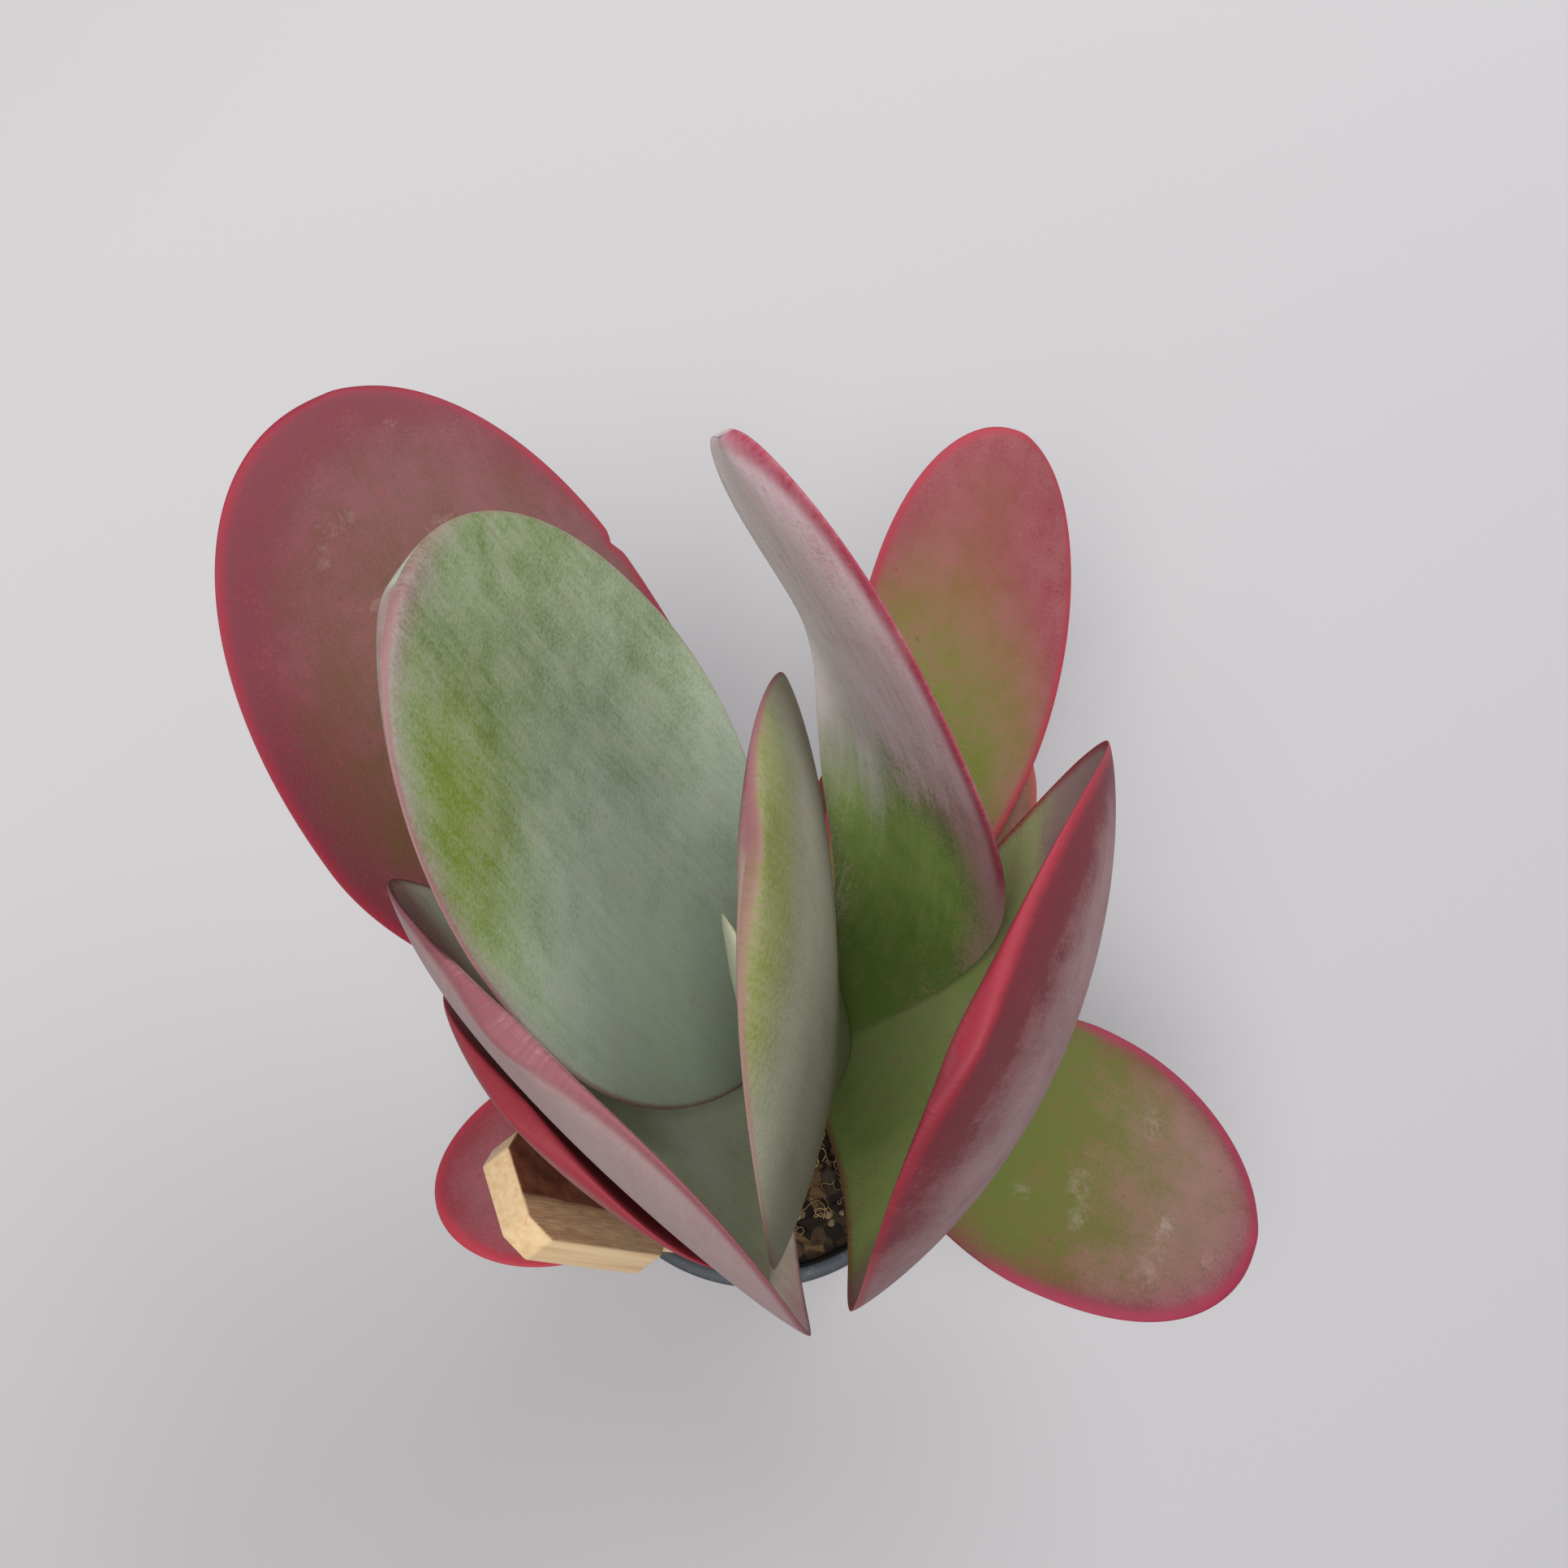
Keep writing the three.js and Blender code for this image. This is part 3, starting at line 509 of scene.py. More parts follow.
# %% Build and colour the leaves
(V, S), FACE = blade_grid()
columns = S.shape[1]
kept = (RINGS - 1) * columns + 1  # the last ring is one point, the tip
for name, shape in SHAPES.items():
    leaf = {**USUAL, **shape}
    coat = COATS[name]
    points, half = blade_points(leaf, V, S, FACE)
    blade = mesh_piece("paddle_" + name[-2:], points.reshape(-1, 3)[:kept], blade_faces(columns))
    where = dict(v=V, s=S, edge=margin_distance(leaf, V, S, half))
    for key in ("red", "yellow", "wax"):
        upper, lower = (amount_of(where, coat[face][key]) for face in ("upper", "lower"))
        store(blade, key, ((upper + lower) / 2 + (upper - lower) / 2 * FACE).reshape(-1)[:kept])
    line = rim_of(where, *coat["line"]) * np.clip((V - coat.get("line_fades", 0)) * 12 + 0.5, 0, 1)
    store(blade, "rim", line.reshape(-1)[:kept])
    # The same spots, on the upper face only: rubbed wax on most leaves, painted highlights on leaf_5a.
    marks = sum((patch(where, *spot, 1) for spot in coat.get("scuffs_and_glints", ())), 0 * V) * (FACE >= 0)
    store(blade, "scuff_and_glint", marks.reshape(-1)[:kept])
    uv = blade.data.uv_layers.new(name="blade")
    corners = np.zeros(len(blade.data.loops), np.int32)
    blade.data.loops.foreach_get("vertex_index", corners)
    flat = np.stack([S * half, V * leaf["length"]], -1).reshape(-1, 2)[corners] / 100
    uv.uv.foreach_set("vector", flat.astype(np.float32).ravel())
    blade.data.materials.append(leaf_skin(name[-2:], coat))
    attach(blade, "root")
    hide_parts(name)
print("leaves", len(SHAPES), "with", len(blade.data.polygons), "faces each")

# %% [markdown]
# The stem is short, fleshy and nearly hidden. It is a lathed form, swollen where each pair of leaves
# sits, and it runs down into the soil. Its bark is green above and corky brown below.

# %% Lathe
def lathe(profile, sides, at=(0, 0), closed_ends=True):
    """Turns a list of (radius, height) about an upright axis: x = r cos a, y = r sin a."""
    r, z = np.array(profile, float).T
    a = np.arange(sides) * 2 * pi / sides
    x, y = at[0] + r[:, None] * np.cos(a), at[1] + r[:, None] * np.sin(a)
    rings = np.stack([x, y, np.repeat(z[:, None], sides, 1)], -1)
    i, j = np.meshgrid(np.arange(len(r) - 1), np.arange(sides), indexing="ij")
    k = (j + 1) % sides
    here, above = i * sides, (i + 1) * sides
    quads = np.stack([here + j, here + k, above + k, above + j], -1).reshape(-1, 4).tolist()
    if closed_ends:
        quads += [list(range(sides))[::-1], list(range((len(r) - 1) * sides, len(r) * sides))]
    return rings.reshape(-1, 3), quads


def smooth_profile(points, count):
    """The same profile through many more points, by a soft curve between each pair of heights."""
    points = np.array(points, float)
    z = np.linspace(points[0, 1], points[-1, 1], count)
    slope = np.gradient(points[:, 0], points[:, 1])
    i = np.clip(np.searchsorted(points[:, 1], z) - 1, 0, len(points) - 2)
    h = points[i + 1, 1] - points[i, 1]
    q = (z - points[i, 1]) / h
    r = ((1 + 2 * q) * (1 - q) ** 2 * points[i, 0] + q * (1 - q) ** 2 * h * slope[i]
         + q * q * (3 - 2 * q) * points[i + 1, 0] + q * q * (q - 1) * h * slope[i + 1])
    return list(zip(r, z))


STEM = [(5.6, 32), (6.4, 50), (6.6, 58), (6.0, 64), (5.8, 70), (5.2, 76), (4.2, 82), (3.0, 87), (1.9, 90.5)]
stem_points, stem_faces = lathe(smooth_profile(STEM, 90) + [(1.2, 91.6), (0.4, 92)], 64, STEM_AT)
around = np.arctan2(stem_points[:, 1] - STEM_AT[1], stem_points[:, 0] - STEM_AT[0])
swell = 1 + 0.02 * np.sin(3 * around + stem_points[:, 2] / 3) + 0.012 * np.sin(7 * around - stem_points[:, 2])
stem_points[:, :2] = STEM_AT + (stem_points[:, :2] - STEM_AT) * swell[:, None]
stem = mesh_piece("stem_axis", stem_points, stem_faces)
print("stem", len(stem.data.polygons), "faces")

# %% Bark of the stem
bark, tree, shader = new_material("succulent_stem", 0.6, Subsurface_Weight=0.08, Subsurface_Scale=0.002)
place = add(tree, "TexCoord", out=3)
height = add(tree, "SeparateXYZ", {0: place}, out=2)
cork = add(tree, "MapRange", {0: height, 1: 0.066, 2: 0.052})
speckle = add(tree, "TexNoise", {"Vector": place, "Scale": 900, "Detail": 5, "Roughness": 0.7})
cork = add(tree, "Math", {0: cork, 1: speckle}, operation="MULTIPLY", use_clamp=True)
colour = add(tree, "Mix", {0: cork, 6: linear("5f6a3a"), 7: linear("6a5138")}, **RGBA)
tree.links.new(colour, shader.inputs["Base Color"])
bump = add(tree, "Bump", {"Height": speckle, "Strength": 0.7, "Distance": 0.0003})
tree.links.new(bump, shader.inputs["Normal"])
stem.data.materials.append(bark)
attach(stem, "root")
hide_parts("stem")

# %% [markdown]
# The pot is a thin nursery pot, injection-moulded in polypropylene: a tapering wall 1.2 mm thick, a
# rolled lip to stiffen it and drain holes in its floor. It is one closed profile, lathed, and the
# holes are cut with the Boolean modifier, which is applied so the finished mesh holds them.

# %% The pot
FOOT_RADIUS, TAPER, POT_HEIGHT = 22, 5.3, 56
WALL, FLOOR, PANEL = 1.2, 1.6, 0.25  # thicknesses, and how far the plain panel stands proud
DRAINS, DRAIN_RADIUS, DRAIN_CIRCLE, DRILL_SIDES = 5, 2.4, 14, 40


def wall(z):
    """Outside radius of the wall at a height: the foot's radius and an even share of the taper."""
    return FOOT_RADIUS + TAPER * z / POT_HEIGHT


FOOT = [(0.01, 0.9), (6, 0.9), (6.4, 0), (21, 0), (21.6, 0.25), (FOOT_RADIUS, 1), (wall(6), 6)]
OUTSIDE = [(wall(6.2) + PANEL, 6.3), (wall(20) + PANEL, 20), (wall(35) + PANEL, 35), (wall(44) + PANEL, 44),
           (wall(44.4), 44.4), (wall(51.5), 51.5)]
LIP = [(28.2, 51.9), (28.5, 52.7), (28.5, 55.3), (28.35, 55.75), (27.9, POT_HEIGHT), (26.8, POT_HEIGHT),
       (26.55, 55.85), (26.4, 55.5)]
INSIDE = [(wall(50.5) - WALL, 50.5), (wall(3.1) - WALL, 3.1), (wall(FLOOR) - WALL - 1.5, FLOOR),
          (0.01, FLOOR)]
pot_points, pot_faces = lathe(FOOT + OUTSIDE + LIP + INSIDE, 192, closed_ends=False)
pot = mesh_piece("nursery_pot", pot_points, pot_faces)
drill_points, drill_faces = [], []
for angle in (np.arange(DRAINS) + 0.5) * 2 * pi / DRAINS:
    at = (DRAIN_CIRCLE * cos(angle), DRAIN_CIRCLE * sin(angle))
    points, faces = lathe([(DRAIN_RADIUS, -2), (DRAIN_RADIUS, 4)], DRILL_SIDES, at)
    drill_faces += [[v + len(drill_points) for v in face] for face in faces]
    drill_points += points.tolist()
drill = mesh_piece("drills", drill_points, drill_faces)
cut = pot.modifiers.new("drain holes", "BOOLEAN")
cut.object = drill
cut.solver = "EXACT"
cut_mesh = bpy.data.meshes.new_from_object(pot.evaluated_get(bpy.context.evaluated_depsgraph_get()))
pot.modifiers.clear()
pot.data = cut_mesh
bpy.data.objects.remove(drill)
pot.data.shade_smooth()
pot.data.set_sharp_from_angle(angle=radians(35))
print("pot", len(pot.data.polygons), "faces after drilling")

# %% Moulded polypropylene
plastic, tree, shader = new_material("moulded_polypropylene", 0.55, ior=1.49)
place = add(tree, "TexCoord", out=3)
haze = add(tree, "TexNoise", {"Vector": place, "Scale": 60, "Detail": 6, "Roughness": 0.6})
dust = add(tree, "TexNoise", {"Vector": place, "Scale": 700, "Detail": 3, "Roughness": 0.8})
rings_at = add(tree, "Mapping", {"Vector": place, "Scale": (40, 40, 1500)})
scuffs_and_glints = add(tree, "TexNoise", {"Vector": rings_at, "Scale": 1, "Detail": 4})
colour = add(tree, "ValToRGB", {0: haze}, stops=[(0.3, linear("2c3238")), (0.7, linear("39414a"))])
speck = add(tree, "MapRange", {0: dust, 1: 0.62, 2: 0.8, 4: 0.5})
colour = add(tree, "Mix", {0: speck, 6: colour, 7: linear("8d8f8c")}, **RGBA)
tree.links.new(colour, shader.inputs["Base Color"])
tree.links.new(add(tree, "MapRange", {0: scuffs_and_glints, 3: 0.5, 4: 0.72}), shader.inputs["Roughness"])
bump = add(tree, "Bump", {"Height": scuffs_and_glints, "Strength": 0.25, "Distance": 0.0001})
tree.links.new(bump, shader.inputs["Normal"])
pot.data.materials.append(plastic)
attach(pot, "root")
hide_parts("pot")

# %% [markdown]
# Potting soil is crumbs: dark peat in lumps of one to three millimetres, packed so that only their
# tops show. A noise texture would look like a cloud, so the surface is the upper skin of many
# overlapping domes instead, one for each crumb. Tan grit and curly root fibres lie on top of it.

# %% The peat surface
SOIL_LEVEL, SOIL_REACH, STICK_AT = 52.0, 25.6, (1.0, -23.0)
SOIL_RINGS, SOIL_SIDES, SOIL_UNDERSIDE, CRUMBS = 149, 420, 44, 1700
UNDERSIDE_SHARE = 0.94  # of the top's reach, because the pot narrows
chance = np.random.default_rng(7)


def mound(x, y):
    """The level of the soil: a low rise round the stem and two slow waves."""
    from_stem = (x - STEM_AT[0]) ** 2 + (y - STEM_AT[1]) ** 2
    return SOIL_LEVEL - 0.5 + 0.8 * np.exp(-from_stem / 144) + 0.35 * np.sin(x / 6 + 1) * np.cos(y / 5)


def scattered(count, reach):
    """Random places spread evenly over a disc: the radius is the square root of an even draw."""
    r, a = reach * np.sqrt(chance.random(count)), chance.random(count) * 2 * pi
    return np.stack([r * np.cos(a), r * np.sin(a)], -1)


def crumb_skin(x, y, crumbs, sizes):
    """Highest dome above each point: size * (0.75 sqrt(1 - (distance / size)^2) - 0.35)."""
    lift = np.full(x.shape, -0.6)
    for (cx, cy), size in zip(crumbs, sizes):
        d = 1 - ((x - cx) ** 2 + (y - cy) ** 2) / size ** 2
        lift = np.maximum(lift, np.where(d > 0, size * (0.75 * np.sqrt(np.clip(d, 0, 1)) - 0.35), -0.6))
    return lift


radii = np.linspace(0, SOIL_REACH, SOIL_RINGS + 1)[1:]
r, a = np.meshgrid(radii, np.arange(SOIL_SIDES) * 2 * pi / SOIL_SIDES, indexing="ij")
x, y = r * np.cos(a), r * np.sin(a)
crumbs, sizes = scattered(CRUMBS, SOIL_REACH), chance.uniform(0.4, 1.5, CRUMBS)
z = mound(x, y) + crumb_skin(x, y, crumbs, sizes) * np.clip((SOIL_REACH - r) / 2, 0.25, 1)
soil_rings = np.stack([x, y, z], -1).reshape(-1, 3)
under = soil_rings[-SOIL_SIDES:] * [UNDERSIDE_SHARE, UNDERSIDE_SHARE, 0] + [0, 0, SOIL_UNDERSIDE]
soil_points = np.concatenate([soil_rings, [[0, 0, float(z[0].mean())]], under])

# %% Its faces: quads between the rings, a fan in the middle, a skirt and one flat underside
i, j = np.meshgrid(np.arange(SOIL_RINGS - 1), np.arange(SOIL_SIDES), indexing="ij")
k = (j + 1) % SOIL_SIDES
here, outward = i * SOIL_SIDES, (i + 1) * SOIL_SIDES
soil_faces = np.stack([here + j, outward + j, outward + k, here + k], -1).reshape(-1, 4).tolist()
j, k = j[0], k[0]
centre, rim_row, bottom_row = len(soil_rings), len(soil_rings) - SOIL_SIDES, len(soil_rings) + 1
soil_faces += np.stack([np.full(SOIL_SIDES, centre), j, k], -1).tolist()
soil_faces += np.stack([rim_row + j, bottom_row + j, bottom_row + k, rim_row + k], -1).tolist()
soil_faces.append((bottom_row + j[::-1]).tolist())
soil = mesh_piece("potting_soil", soil_points, soil_faces)
print("soil surface from", round(float(z.min()), 1), "to", round(float(z.max()), 1), "mm")

# %% Peat
peat, tree, shader = new_material("peat_potting_soil", 0.95, ior=1.4)
place = add(tree, "TexCoord", out=3)
lumps = add(tree, "TexVoronoi", {"Vector": place, "Scale": 450}, out=1)
pick = add(tree, "SeparateColor", {0: lumps})
fine = add(tree, "TexNoise", {"Vector": place, "Scale": 2200, "Detail": 4, "Roughness": 0.75})
tones = [(0.0, linear("1a1411")), (0.5, linear("332820")), (0.85, linear("54422e")), (0.97, linear("8a6c45"))]
colour = add(tree, "ValToRGB", {0: pick}, stops=tones)
colour = add(tree, "Mix", {0: fine, 6: linear("120e0b"), 7: colour}, **RGBA)
tree.links.new(colour, shader.inputs["Base Color"])
bump = add(tree, "Bump", {"Height": fine, "Strength": 1.0, "Distance": 0.0004})
tree.links.new(bump, shader.inputs["Normal"])
soil.data.materials.append(peat)
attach(soil, "root")
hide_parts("soil")

# %% Grit, each grain a squashed and dented ball of a few faces
ball = bpy.data.meshes.new("grain")
maker = bmesh.new()
bmesh.ops.create_icosphere(maker, subdivisions=2, radius=1)
maker.to_mesh(ball)
maker.free()
unit_points, unit_faces = np.zeros(3 * len(ball.vertices)), np.zeros(len(ball.loops), np.int32)
ball.vertices.foreach_get("co", unit_points)
ball.loops.foreach_get("vertex_index", unit_faces)
unit_points, unit_faces = unit_points.reshape(-1, 3), unit_faces.reshape(-1, 3)


def grains(name, places, sizes, flat=0.6, rough=0.16):
    """One mesh of many grains: each is the ball, stretched by its own three sizes, dented by a sine of
    its own direction, turned about a random upright angle and set at its place."""
    count = len(places)
    stretch = np.asarray(sizes)[:, None] * chance.uniform(0.7, 1.15, (count, 3)) * [1, 1, flat]
    waves, phase = chance.normal(0, 2.2, (count, 3)), chance.random(count) * 6
    dent = 1 + rough * np.sin(np.einsum("gk,pk->gp", waves, unit_points) + phase[:, None])
    local = unit_points[None] * dent[..., None] * stretch[:, None]
    turn = chance.random(count) * 2 * pi
    c, s = np.cos(turn)[:, None], np.sin(turn)[:, None]
    x = local[..., 0] * c - local[..., 1] * s
    y = local[..., 0] * s + local[..., 1] * c
    points = np.stack([x, y, local[..., 2]], -1) + places[:, None]
    faces = unit_faces[None] + np.arange(count)[:, None, None] * len(unit_points)
    return mesh_piece(name, points.reshape(-1, 3), faces.reshape(-1, 3).tolist(), smooth=False)


at = scattered(210, SOIL_REACH - 1.5)
clear = (np.hypot(*(at - STEM_AT).T) > 8) & (np.hypot(*(at - STICK_AT).T) > 4)
at = at[clear]
grit_sizes = 0.35 + 1.1 * chance.random(len(at)) ** 2
level = mound(*at.T) + grit_sizes * 0.35 + 0.25
grit = grains("soil_grit", np.column_stack([at, level]), grit_sizes)
print("grit", len(at), "grains")

# %% Tan and grey grit
stone, tree, shader = new_material("grit_stone", 0.85, ior=1.5)
place = add(tree, "TexCoord", out=3)
which = add(tree, "SeparateColor", {0: add(tree, "TexVoronoi", {"Vector": place, "Scale": 260}, out=1)})
fine = add(tree, "TexNoise", {"Vector": place, "Scale": 2600, "Detail": 4, "Roughness": 0.7})
tones = [(0.0, linear("2a211a")), (0.35, linear("4f3f2d")), (0.65, linear("7d6240")), (0.9, linear("9c8866"))]
colour = add(tree, "ValToRGB", {0: which}, stops=tones)
colour = add(tree, "Mix", {0: fine, 6: linear("2a221b"), 7: colour}, **RGBA)
tree.links.new(colour, shader.inputs["Base Color"])
bump = add(tree, "Bump", {"Height": fine, "Strength": 0.8, "Distance": 0.0003})
tree.links.new(bump, shader.inputs["Normal"])
grit.data.materials.append(stone)

# %% [markdown]
# Coir and root fibres are thin, tan and curly. Each is a tube of four sides along a path whose
# direction swings as it goes, so that it curls, and all of them are computed together.

# %% Fibres
def fibres(name, starts, lengths, thick=0.06, points=22):
    """A tube along each path: its heading is a sum of two slow sines of the distance, and it lies on
    the soil with a small arch. The four corners of its section are offset sideways and upwards."""
    count = len(starts)
    t = np.linspace(0, 1, points)
    ranges = ((0, 6.3), (0.8, 2.2), (0.6, 1.6), (0, 6))
    first, swing, speed, phase = (chance.uniform(low, high, (count, 1)) for low, high in ranges)
    heading = first + swing * np.sin(2 * pi * speed * t + phase) + 0.6 * np.sin(5 * t + phase)
    step = np.asarray(lengths)[:, None] / points
    px = starts[:, :1] + np.cumsum(np.cos(heading) * step, 1)
    py = starts[:, 1:2] + np.cumsum(np.sin(heading) * step, 1)
    arch = chance.uniform(0.2, 1.3, (count, 1)) * np.sin(pi * t) + chance.uniform(0.1, 0.5, (count, 1))
    pz = starts[:, 2:] + arch
    side_x, side_y = -np.sin(heading) * thick, np.cos(heading) * thick
    corners = [np.stack([px + side_x, py + side_y, pz], -1), np.stack([px, py, pz + thick], -1),
               np.stack([px - side_x, py - side_y, pz], -1), np.stack([px, py, pz - thick], -1)]
    tube = np.stack(corners, 2)  # fibre, point, corner, xyz
    base = (np.arange(count)[:, None, None] * points + np.arange(points - 1)[None, :, None]) * 4
    c = np.arange(4)
    quads = np.stack([base + c, base + 4 + c, base + 4 + (c + 1) % 4, base + (c + 1) % 4], -1).reshape(-1, 4)
    near = np.arange(count)[:, None] * points * 4 + c
    far = near + (points - 1) * 4
    return mesh_piece(name, tube.reshape(-1, 3), quads.tolist() + near.tolist() + far[:, ::-1].tolist())


fibre_at = scattered(330, SOIL_REACH - 4)
fibre_at = fibre_at[np.hypot(*(fibre_at - STEM_AT).T) > 7.5]
fibre_at = np.column_stack([fibre_at, mound(*fibre_at.T) + 0.3])
coir = fibres("coir_fibres", fibre_at, chance.uniform(2, 8, len(fibre_at)))
fibre, tree, shader = new_material("coir_fibre", 0.7, ior=1.5)
tone = add(tree, "TexNoise", {"Vector": add(tree, "TexCoord", out=3), "Scale": 300, "Detail": 2})
colour = add(tree, "ValToRGB", {0: tone}, stops=[(0.35, linear("6b5233")), (0.65, linear("c8a873"))])
tree.links.new(colour, shader.inputs["Base Color"])
coir.data.materials.append(fibre)
for piece in (grit, coir):
    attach(piece, "root")
print("fibres", len(fibre_at))

# %% [markdown]
# The plant label is a small block of beech with cut corners on a pointed stick. It is drawn along
# its own axes, its edges are rounded with a Bevel that is applied, its own coordinates are kept on
# its points for the grain, and only then is it turned and carried to its place in the soil. Its
# sizes and pose were fitted as the leaves' were, rounded, and moved until it stood clear of them.

# %% The label
LABEL = dict(length=28, width=16, thick=5, corner=3, stick=29.5, stick_wide=5, stick_foot=2.2,
             stick_thick=1.8, inset=1.9)
LABEL_TURN, LABEL_LEAN, LABEL_HEADING, LABEL_TOP = 211, 34, 176, (-33.5, -19.7, 94.3)


def slab(outline, low, high):
    """A flat outline in width and length, given a thickness from low to high."""
    n = len(outline)
    points = np.concatenate([np.column_stack([np.full(n, x), outline]) for x in (low, high)])
    faces = [[i, (i + 1) % n, n + (i + 1) % n, n + i] for i in range(n)]
    return points, faces + [list(range(n))[::-1], list(range(n, 2 * n))]


def turned(points, axis, degrees):
    """Points turned about the x, y or z axis of the frame."""
    a, b = [(1, 2), (2, 0), (0, 1)][axis]
    out = points.copy()
    out[:, a] = points[:, a] * cos(radians(degrees)) - points[:, b] * sin(radians(degrees))
    out[:, b] = points[:, a] * sin(radians(degrees)) + points[:, b] * cos(radians(degrees))
    return out


w, c, end = LABEL["width"] / 2, LABEL["corner"], -LABEL["length"]
board = [(-w, -c), (-w, end + c), (-w + c, end), (w - c, end), (w, end + c), (w, -c), (w - c, 0), (-w + c, 0)]
head = slab(board, 0, LABEL["thick"])
y0 = -w + LABEL["inset"]
y1 = y0 + LABEL["stick_wide"]
foot = end - LABEL["stick"]
front = LABEL["thick"] - 0.3
mid, half_foot = (y0 + y1) / 2, LABEL["stick_foot"] / 2
point = [(mid - half_foot, foot + 1), (mid, foot), (mid + half_foot, foot + 1)]
stick = slab([(y0, end + 4)] + point + [(y1, end + 4)], front - LABEL["stick_thick"], front)
label = mesh_piece("wooden_plant_label", np.concatenate([head[0], stick[0]]),
                   head[1] + [[v + len(head[0]) for v in f] for f in stick[1]], smooth=False)
soften = label.modifiers.new("sanded edges", "BEVEL")
soften.width, soften.segments = 0.4 * MM, 3
sanded = bpy.data.meshes.new_from_object(label.evaluated_get(bpy.context.evaluated_depsgraph_get()))
label.modifiers.clear()
label.data = sanded
own = np.zeros(len(sanded.vertices) * 3)
sanded.vertices.foreach_get("co", own)
own = own.reshape(-1, 3)
store(label, "own_place", own / MM, "FLOAT_VECTOR")
placed = turned(turned(turned(own / MM, 2, LABEL_TURN), 1, LABEL_LEAN), 2, LABEL_HEADING) + LABEL_TOP
sanded.vertices.foreach_set("co", (placed * MM).ravel())
sanded.shade_smooth()
sanded.set_sharp_from_angle(angle=radians(25))
print("label foot at height", round(float(placed[:, 2].min()), 1), "mm")

# %% Beech, with dark brown over part of its face: partly a walnut stain, partly painted shade
beech, tree, shader = new_material("beech_wood", 0.62, ior=1.5)
place = add(tree, "Attribute", attribute_name="own_place", out=1)
along = add(tree, "Mapping", {"Vector": place, "Scale": (0.9, 0.9, 0.04)})
sockets = {"Vector": along, "Scale": 1, "Detail": 6, "Roughness": 0.6, "Distortion": 0.4}
figure = add(tree, "TexNoise", sockets)
pores = add(tree, "Mapping", {"Vector": place, "Scale": (5, 5, 0.35)})
pores = add(tree, "TexNoise", {"Vector": pores, "Scale": 1, "Detail": 4, "Roughness": 0.7})
tones = [(0.3, linear("cba678")), (0.5, linear("d8ba8f")), (0.7, linear("dfc69c"))]
wood = add(tree, "ValToRGB", {0: figure}, stops=tones)
line = add(tree, "MapRange", {0: pores, 1: 0.6, 2: 0.8, 4: 0.14})
wood = add(tree, "Mix", {0: line, 6: wood, 7: linear("a97f52")}, **RGBA)
cloudy = add(tree, "TexNoise", {"Vector": place, "Scale": 0.35, "Detail": 5, "Roughness": 0.6})
# The dark brown on the front face is partly a stain on the wood and partly painted shade of that face.
tones = [(0.3, linear("4a2416")), (0.55, linear("6e3f2a")), (0.8, linear("8a5c44"))]
stain_and_shade = add(tree, "ValToRGB", {0: cloudy}, stops=tones)
x_own, y_own = (add(tree, "SeparateXYZ", {0: place}, out=n) for n in (0, 1))
on_face = add(tree, "MapRange", {0: x_own, 1: 4.75, 2: 4.95})
edge_at = add(tree, "Math", {0: figure, 1: 5.0, 2: y_own}, operation="MULTIPLY_ADD")
stain_and_shade_reach = add(tree, "MapRange", {0: edge_at, 1: -1.0, 2: 1.2})
marks = add(tree, "MapRange", {0: pores, 1: 0.35, 2: 0.7, 3: 0.3, 4: 0.75})
cover = add(tree, "Math", {0: stain_and_shade_reach, 1: marks}, operation="MAXIMUM")
cover = add(tree, "Math", {0: on_face, 1: cover}, operation="MULTIPLY")
colour = add(tree, "Mix", {0: cover, 6: wood, 7: stain_and_shade}, **RGBA)
tree.links.new(colour, shader.inputs["Base Color"])
bump = add(tree, "Bump", {"Height": pores, "Strength": 0.4, "Distance": 0.0001})
tree.links.new(bump, shader.inputs["Normal"])
label.data.materials.append(beech)
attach(label, "root")
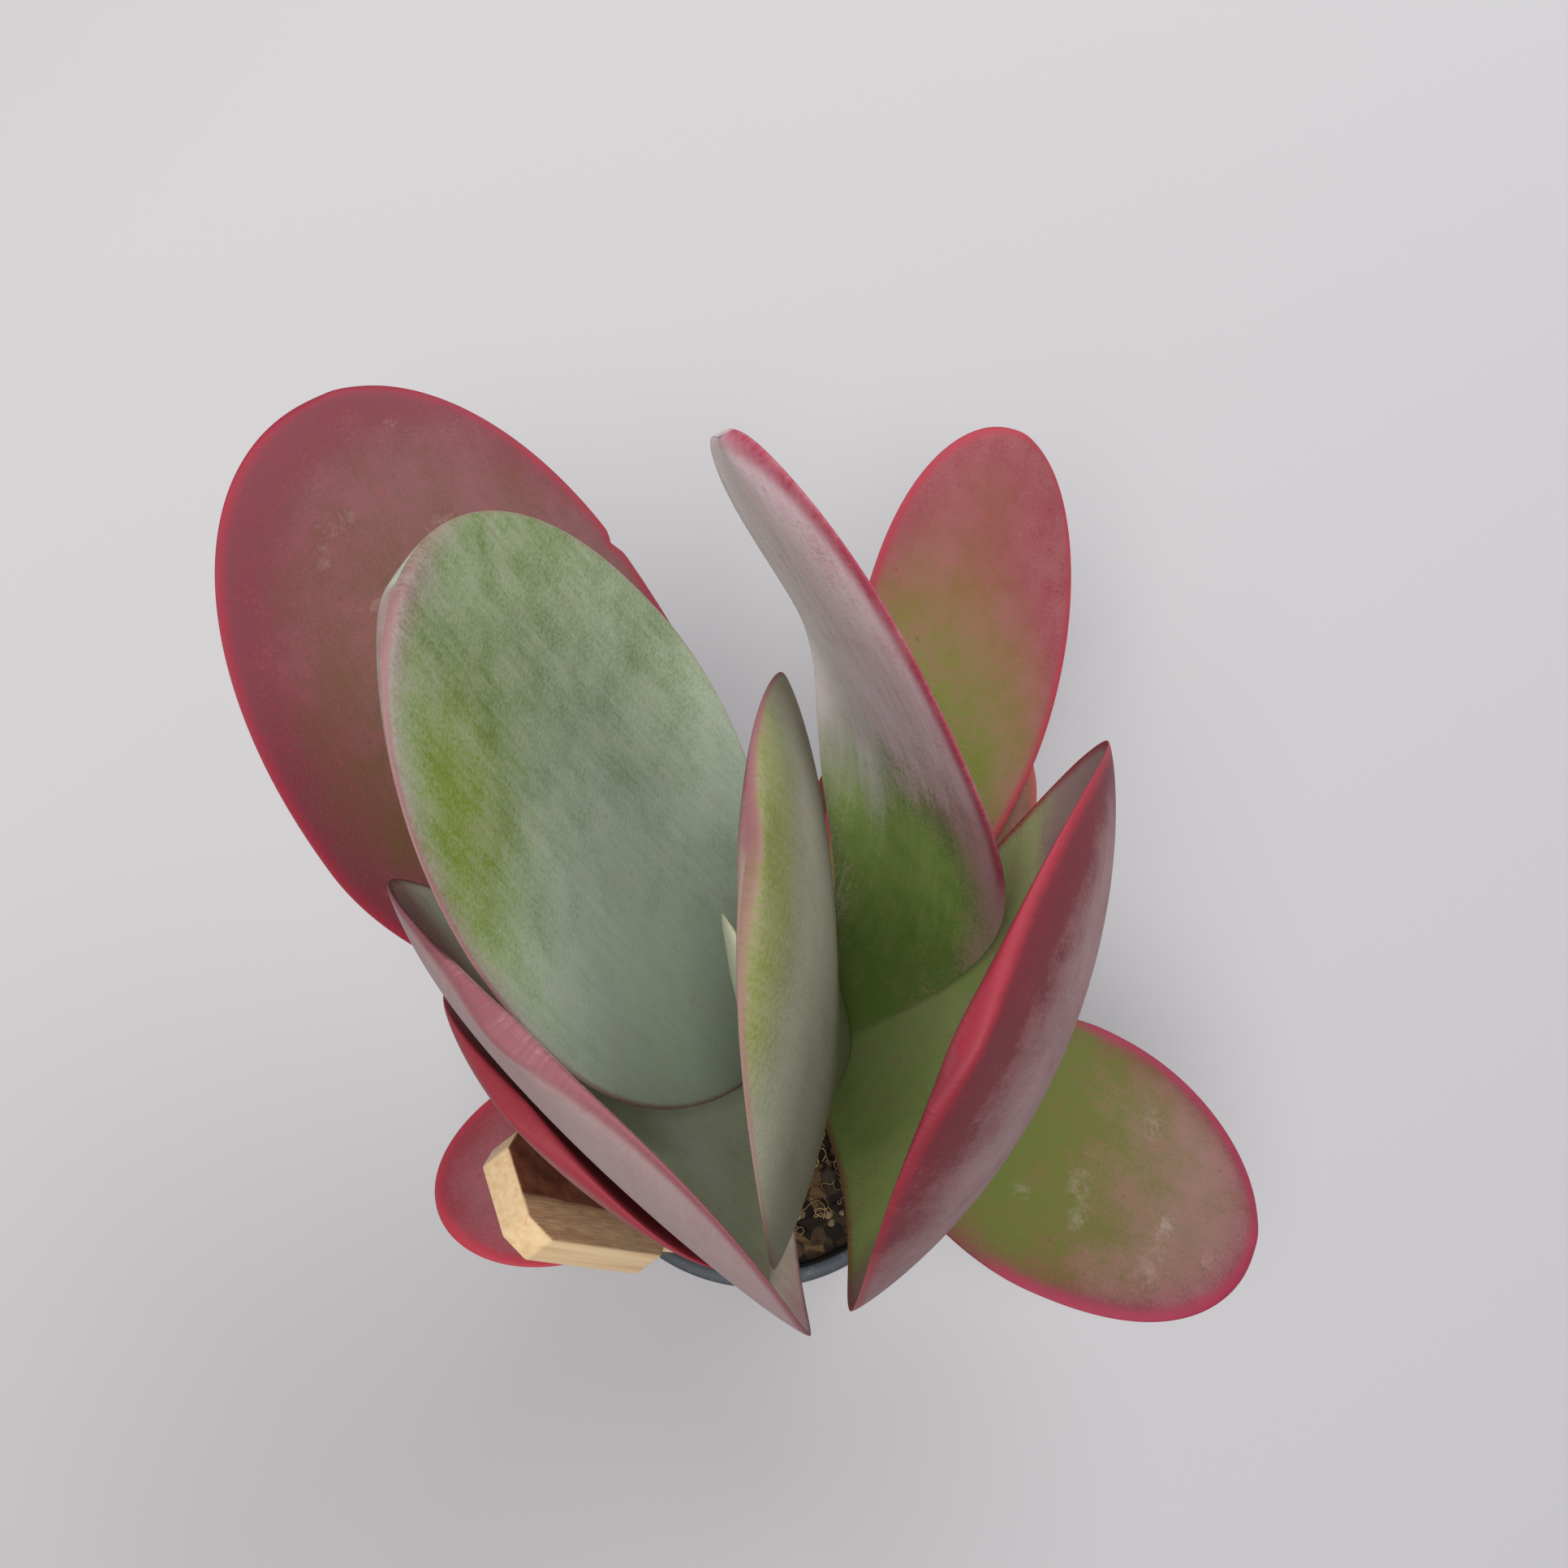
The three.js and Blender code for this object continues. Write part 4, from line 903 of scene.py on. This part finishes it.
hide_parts("plant_label")

# %% [markdown]
# The plant stands on a wide pale table top in soft daylight: one large panel above and in front of it,
# a second one behind it on the right, and an even room around them. The table top is painted a little
# darker towards one corner, as painted shade where the light falls off. Colours are shown as they are,
# without a film curve.

# %% Floor and light
TABLE = 3000  # half its side, mm
floor = mesh_piece("floor", [(-TABLE, -TABLE, 0), (TABLE, -TABLE, 0), (TABLE, TABLE, 0), (-TABLE, TABLE, 0)],
                   [[0, 1, 2, 3]])
matt, tree, shader = new_material("matt_white_board", 0.9)
across = add(tree, "Mapping", {"Vector": add(tree, "TexCoord", out=3), "Rotation": (0, 0, radians(45))})
across = add(tree, "SeparateXYZ", {0: across}, out=0)
# Painted shade: the board's colour darkens along a diagonal, from one corner to the other.
colour = add(tree, "ValToRGB", {0: add(tree, "MapRange", {0: across, 1: -0.25, 2: 0.25})},
             stops=[(0, linear("bbb9bb")), (1, linear("a09fa3"))])
tree.links.new(colour, shader.inputs["Base Color"])
floor.data.materials.append(matt)

panel = bpy.data.lights.new("window", "AREA")
panel.shape, panel.size, panel.size_y, panel.energy = "RECTANGLE", 0.8, 0.8, 19
panel.color = linear("fffdfa")[:3]
window = bpy.data.objects.new("window", panel)
window.location = (-0.15, -0.45, 1.35)
window.rotation_euler = (radians(18), radians(-6), 0)
bpy.context.scene.collection.objects.link(window)

bounce = bpy.data.lights.new("white wall", "AREA")
bounce.shape, bounce.size, bounce.size_y, bounce.energy = "RECTANGLE", 1.0, 1.0, 14
wall_light = bpy.data.objects.new("white wall", bounce)
wall_light.location = (0.7, 0.8, 0.95)
wall_light.rotation_euler = (0, radians(48), radians(48))
bpy.context.scene.collection.objects.link(wall_light)

room = bpy.data.worlds.new("room")
room.use_nodes = True
room.node_tree.nodes["Background"].inputs["Color"].default_value = linear("f1f2f6")
room.node_tree.nodes["Background"].inputs["Strength"].default_value = 0.3
bpy.context.scene.world = room
bpy.context.scene.view_settings.view_transform = "Standard"
print("light panels", panel.energy, "and", bounce.energy, "W")
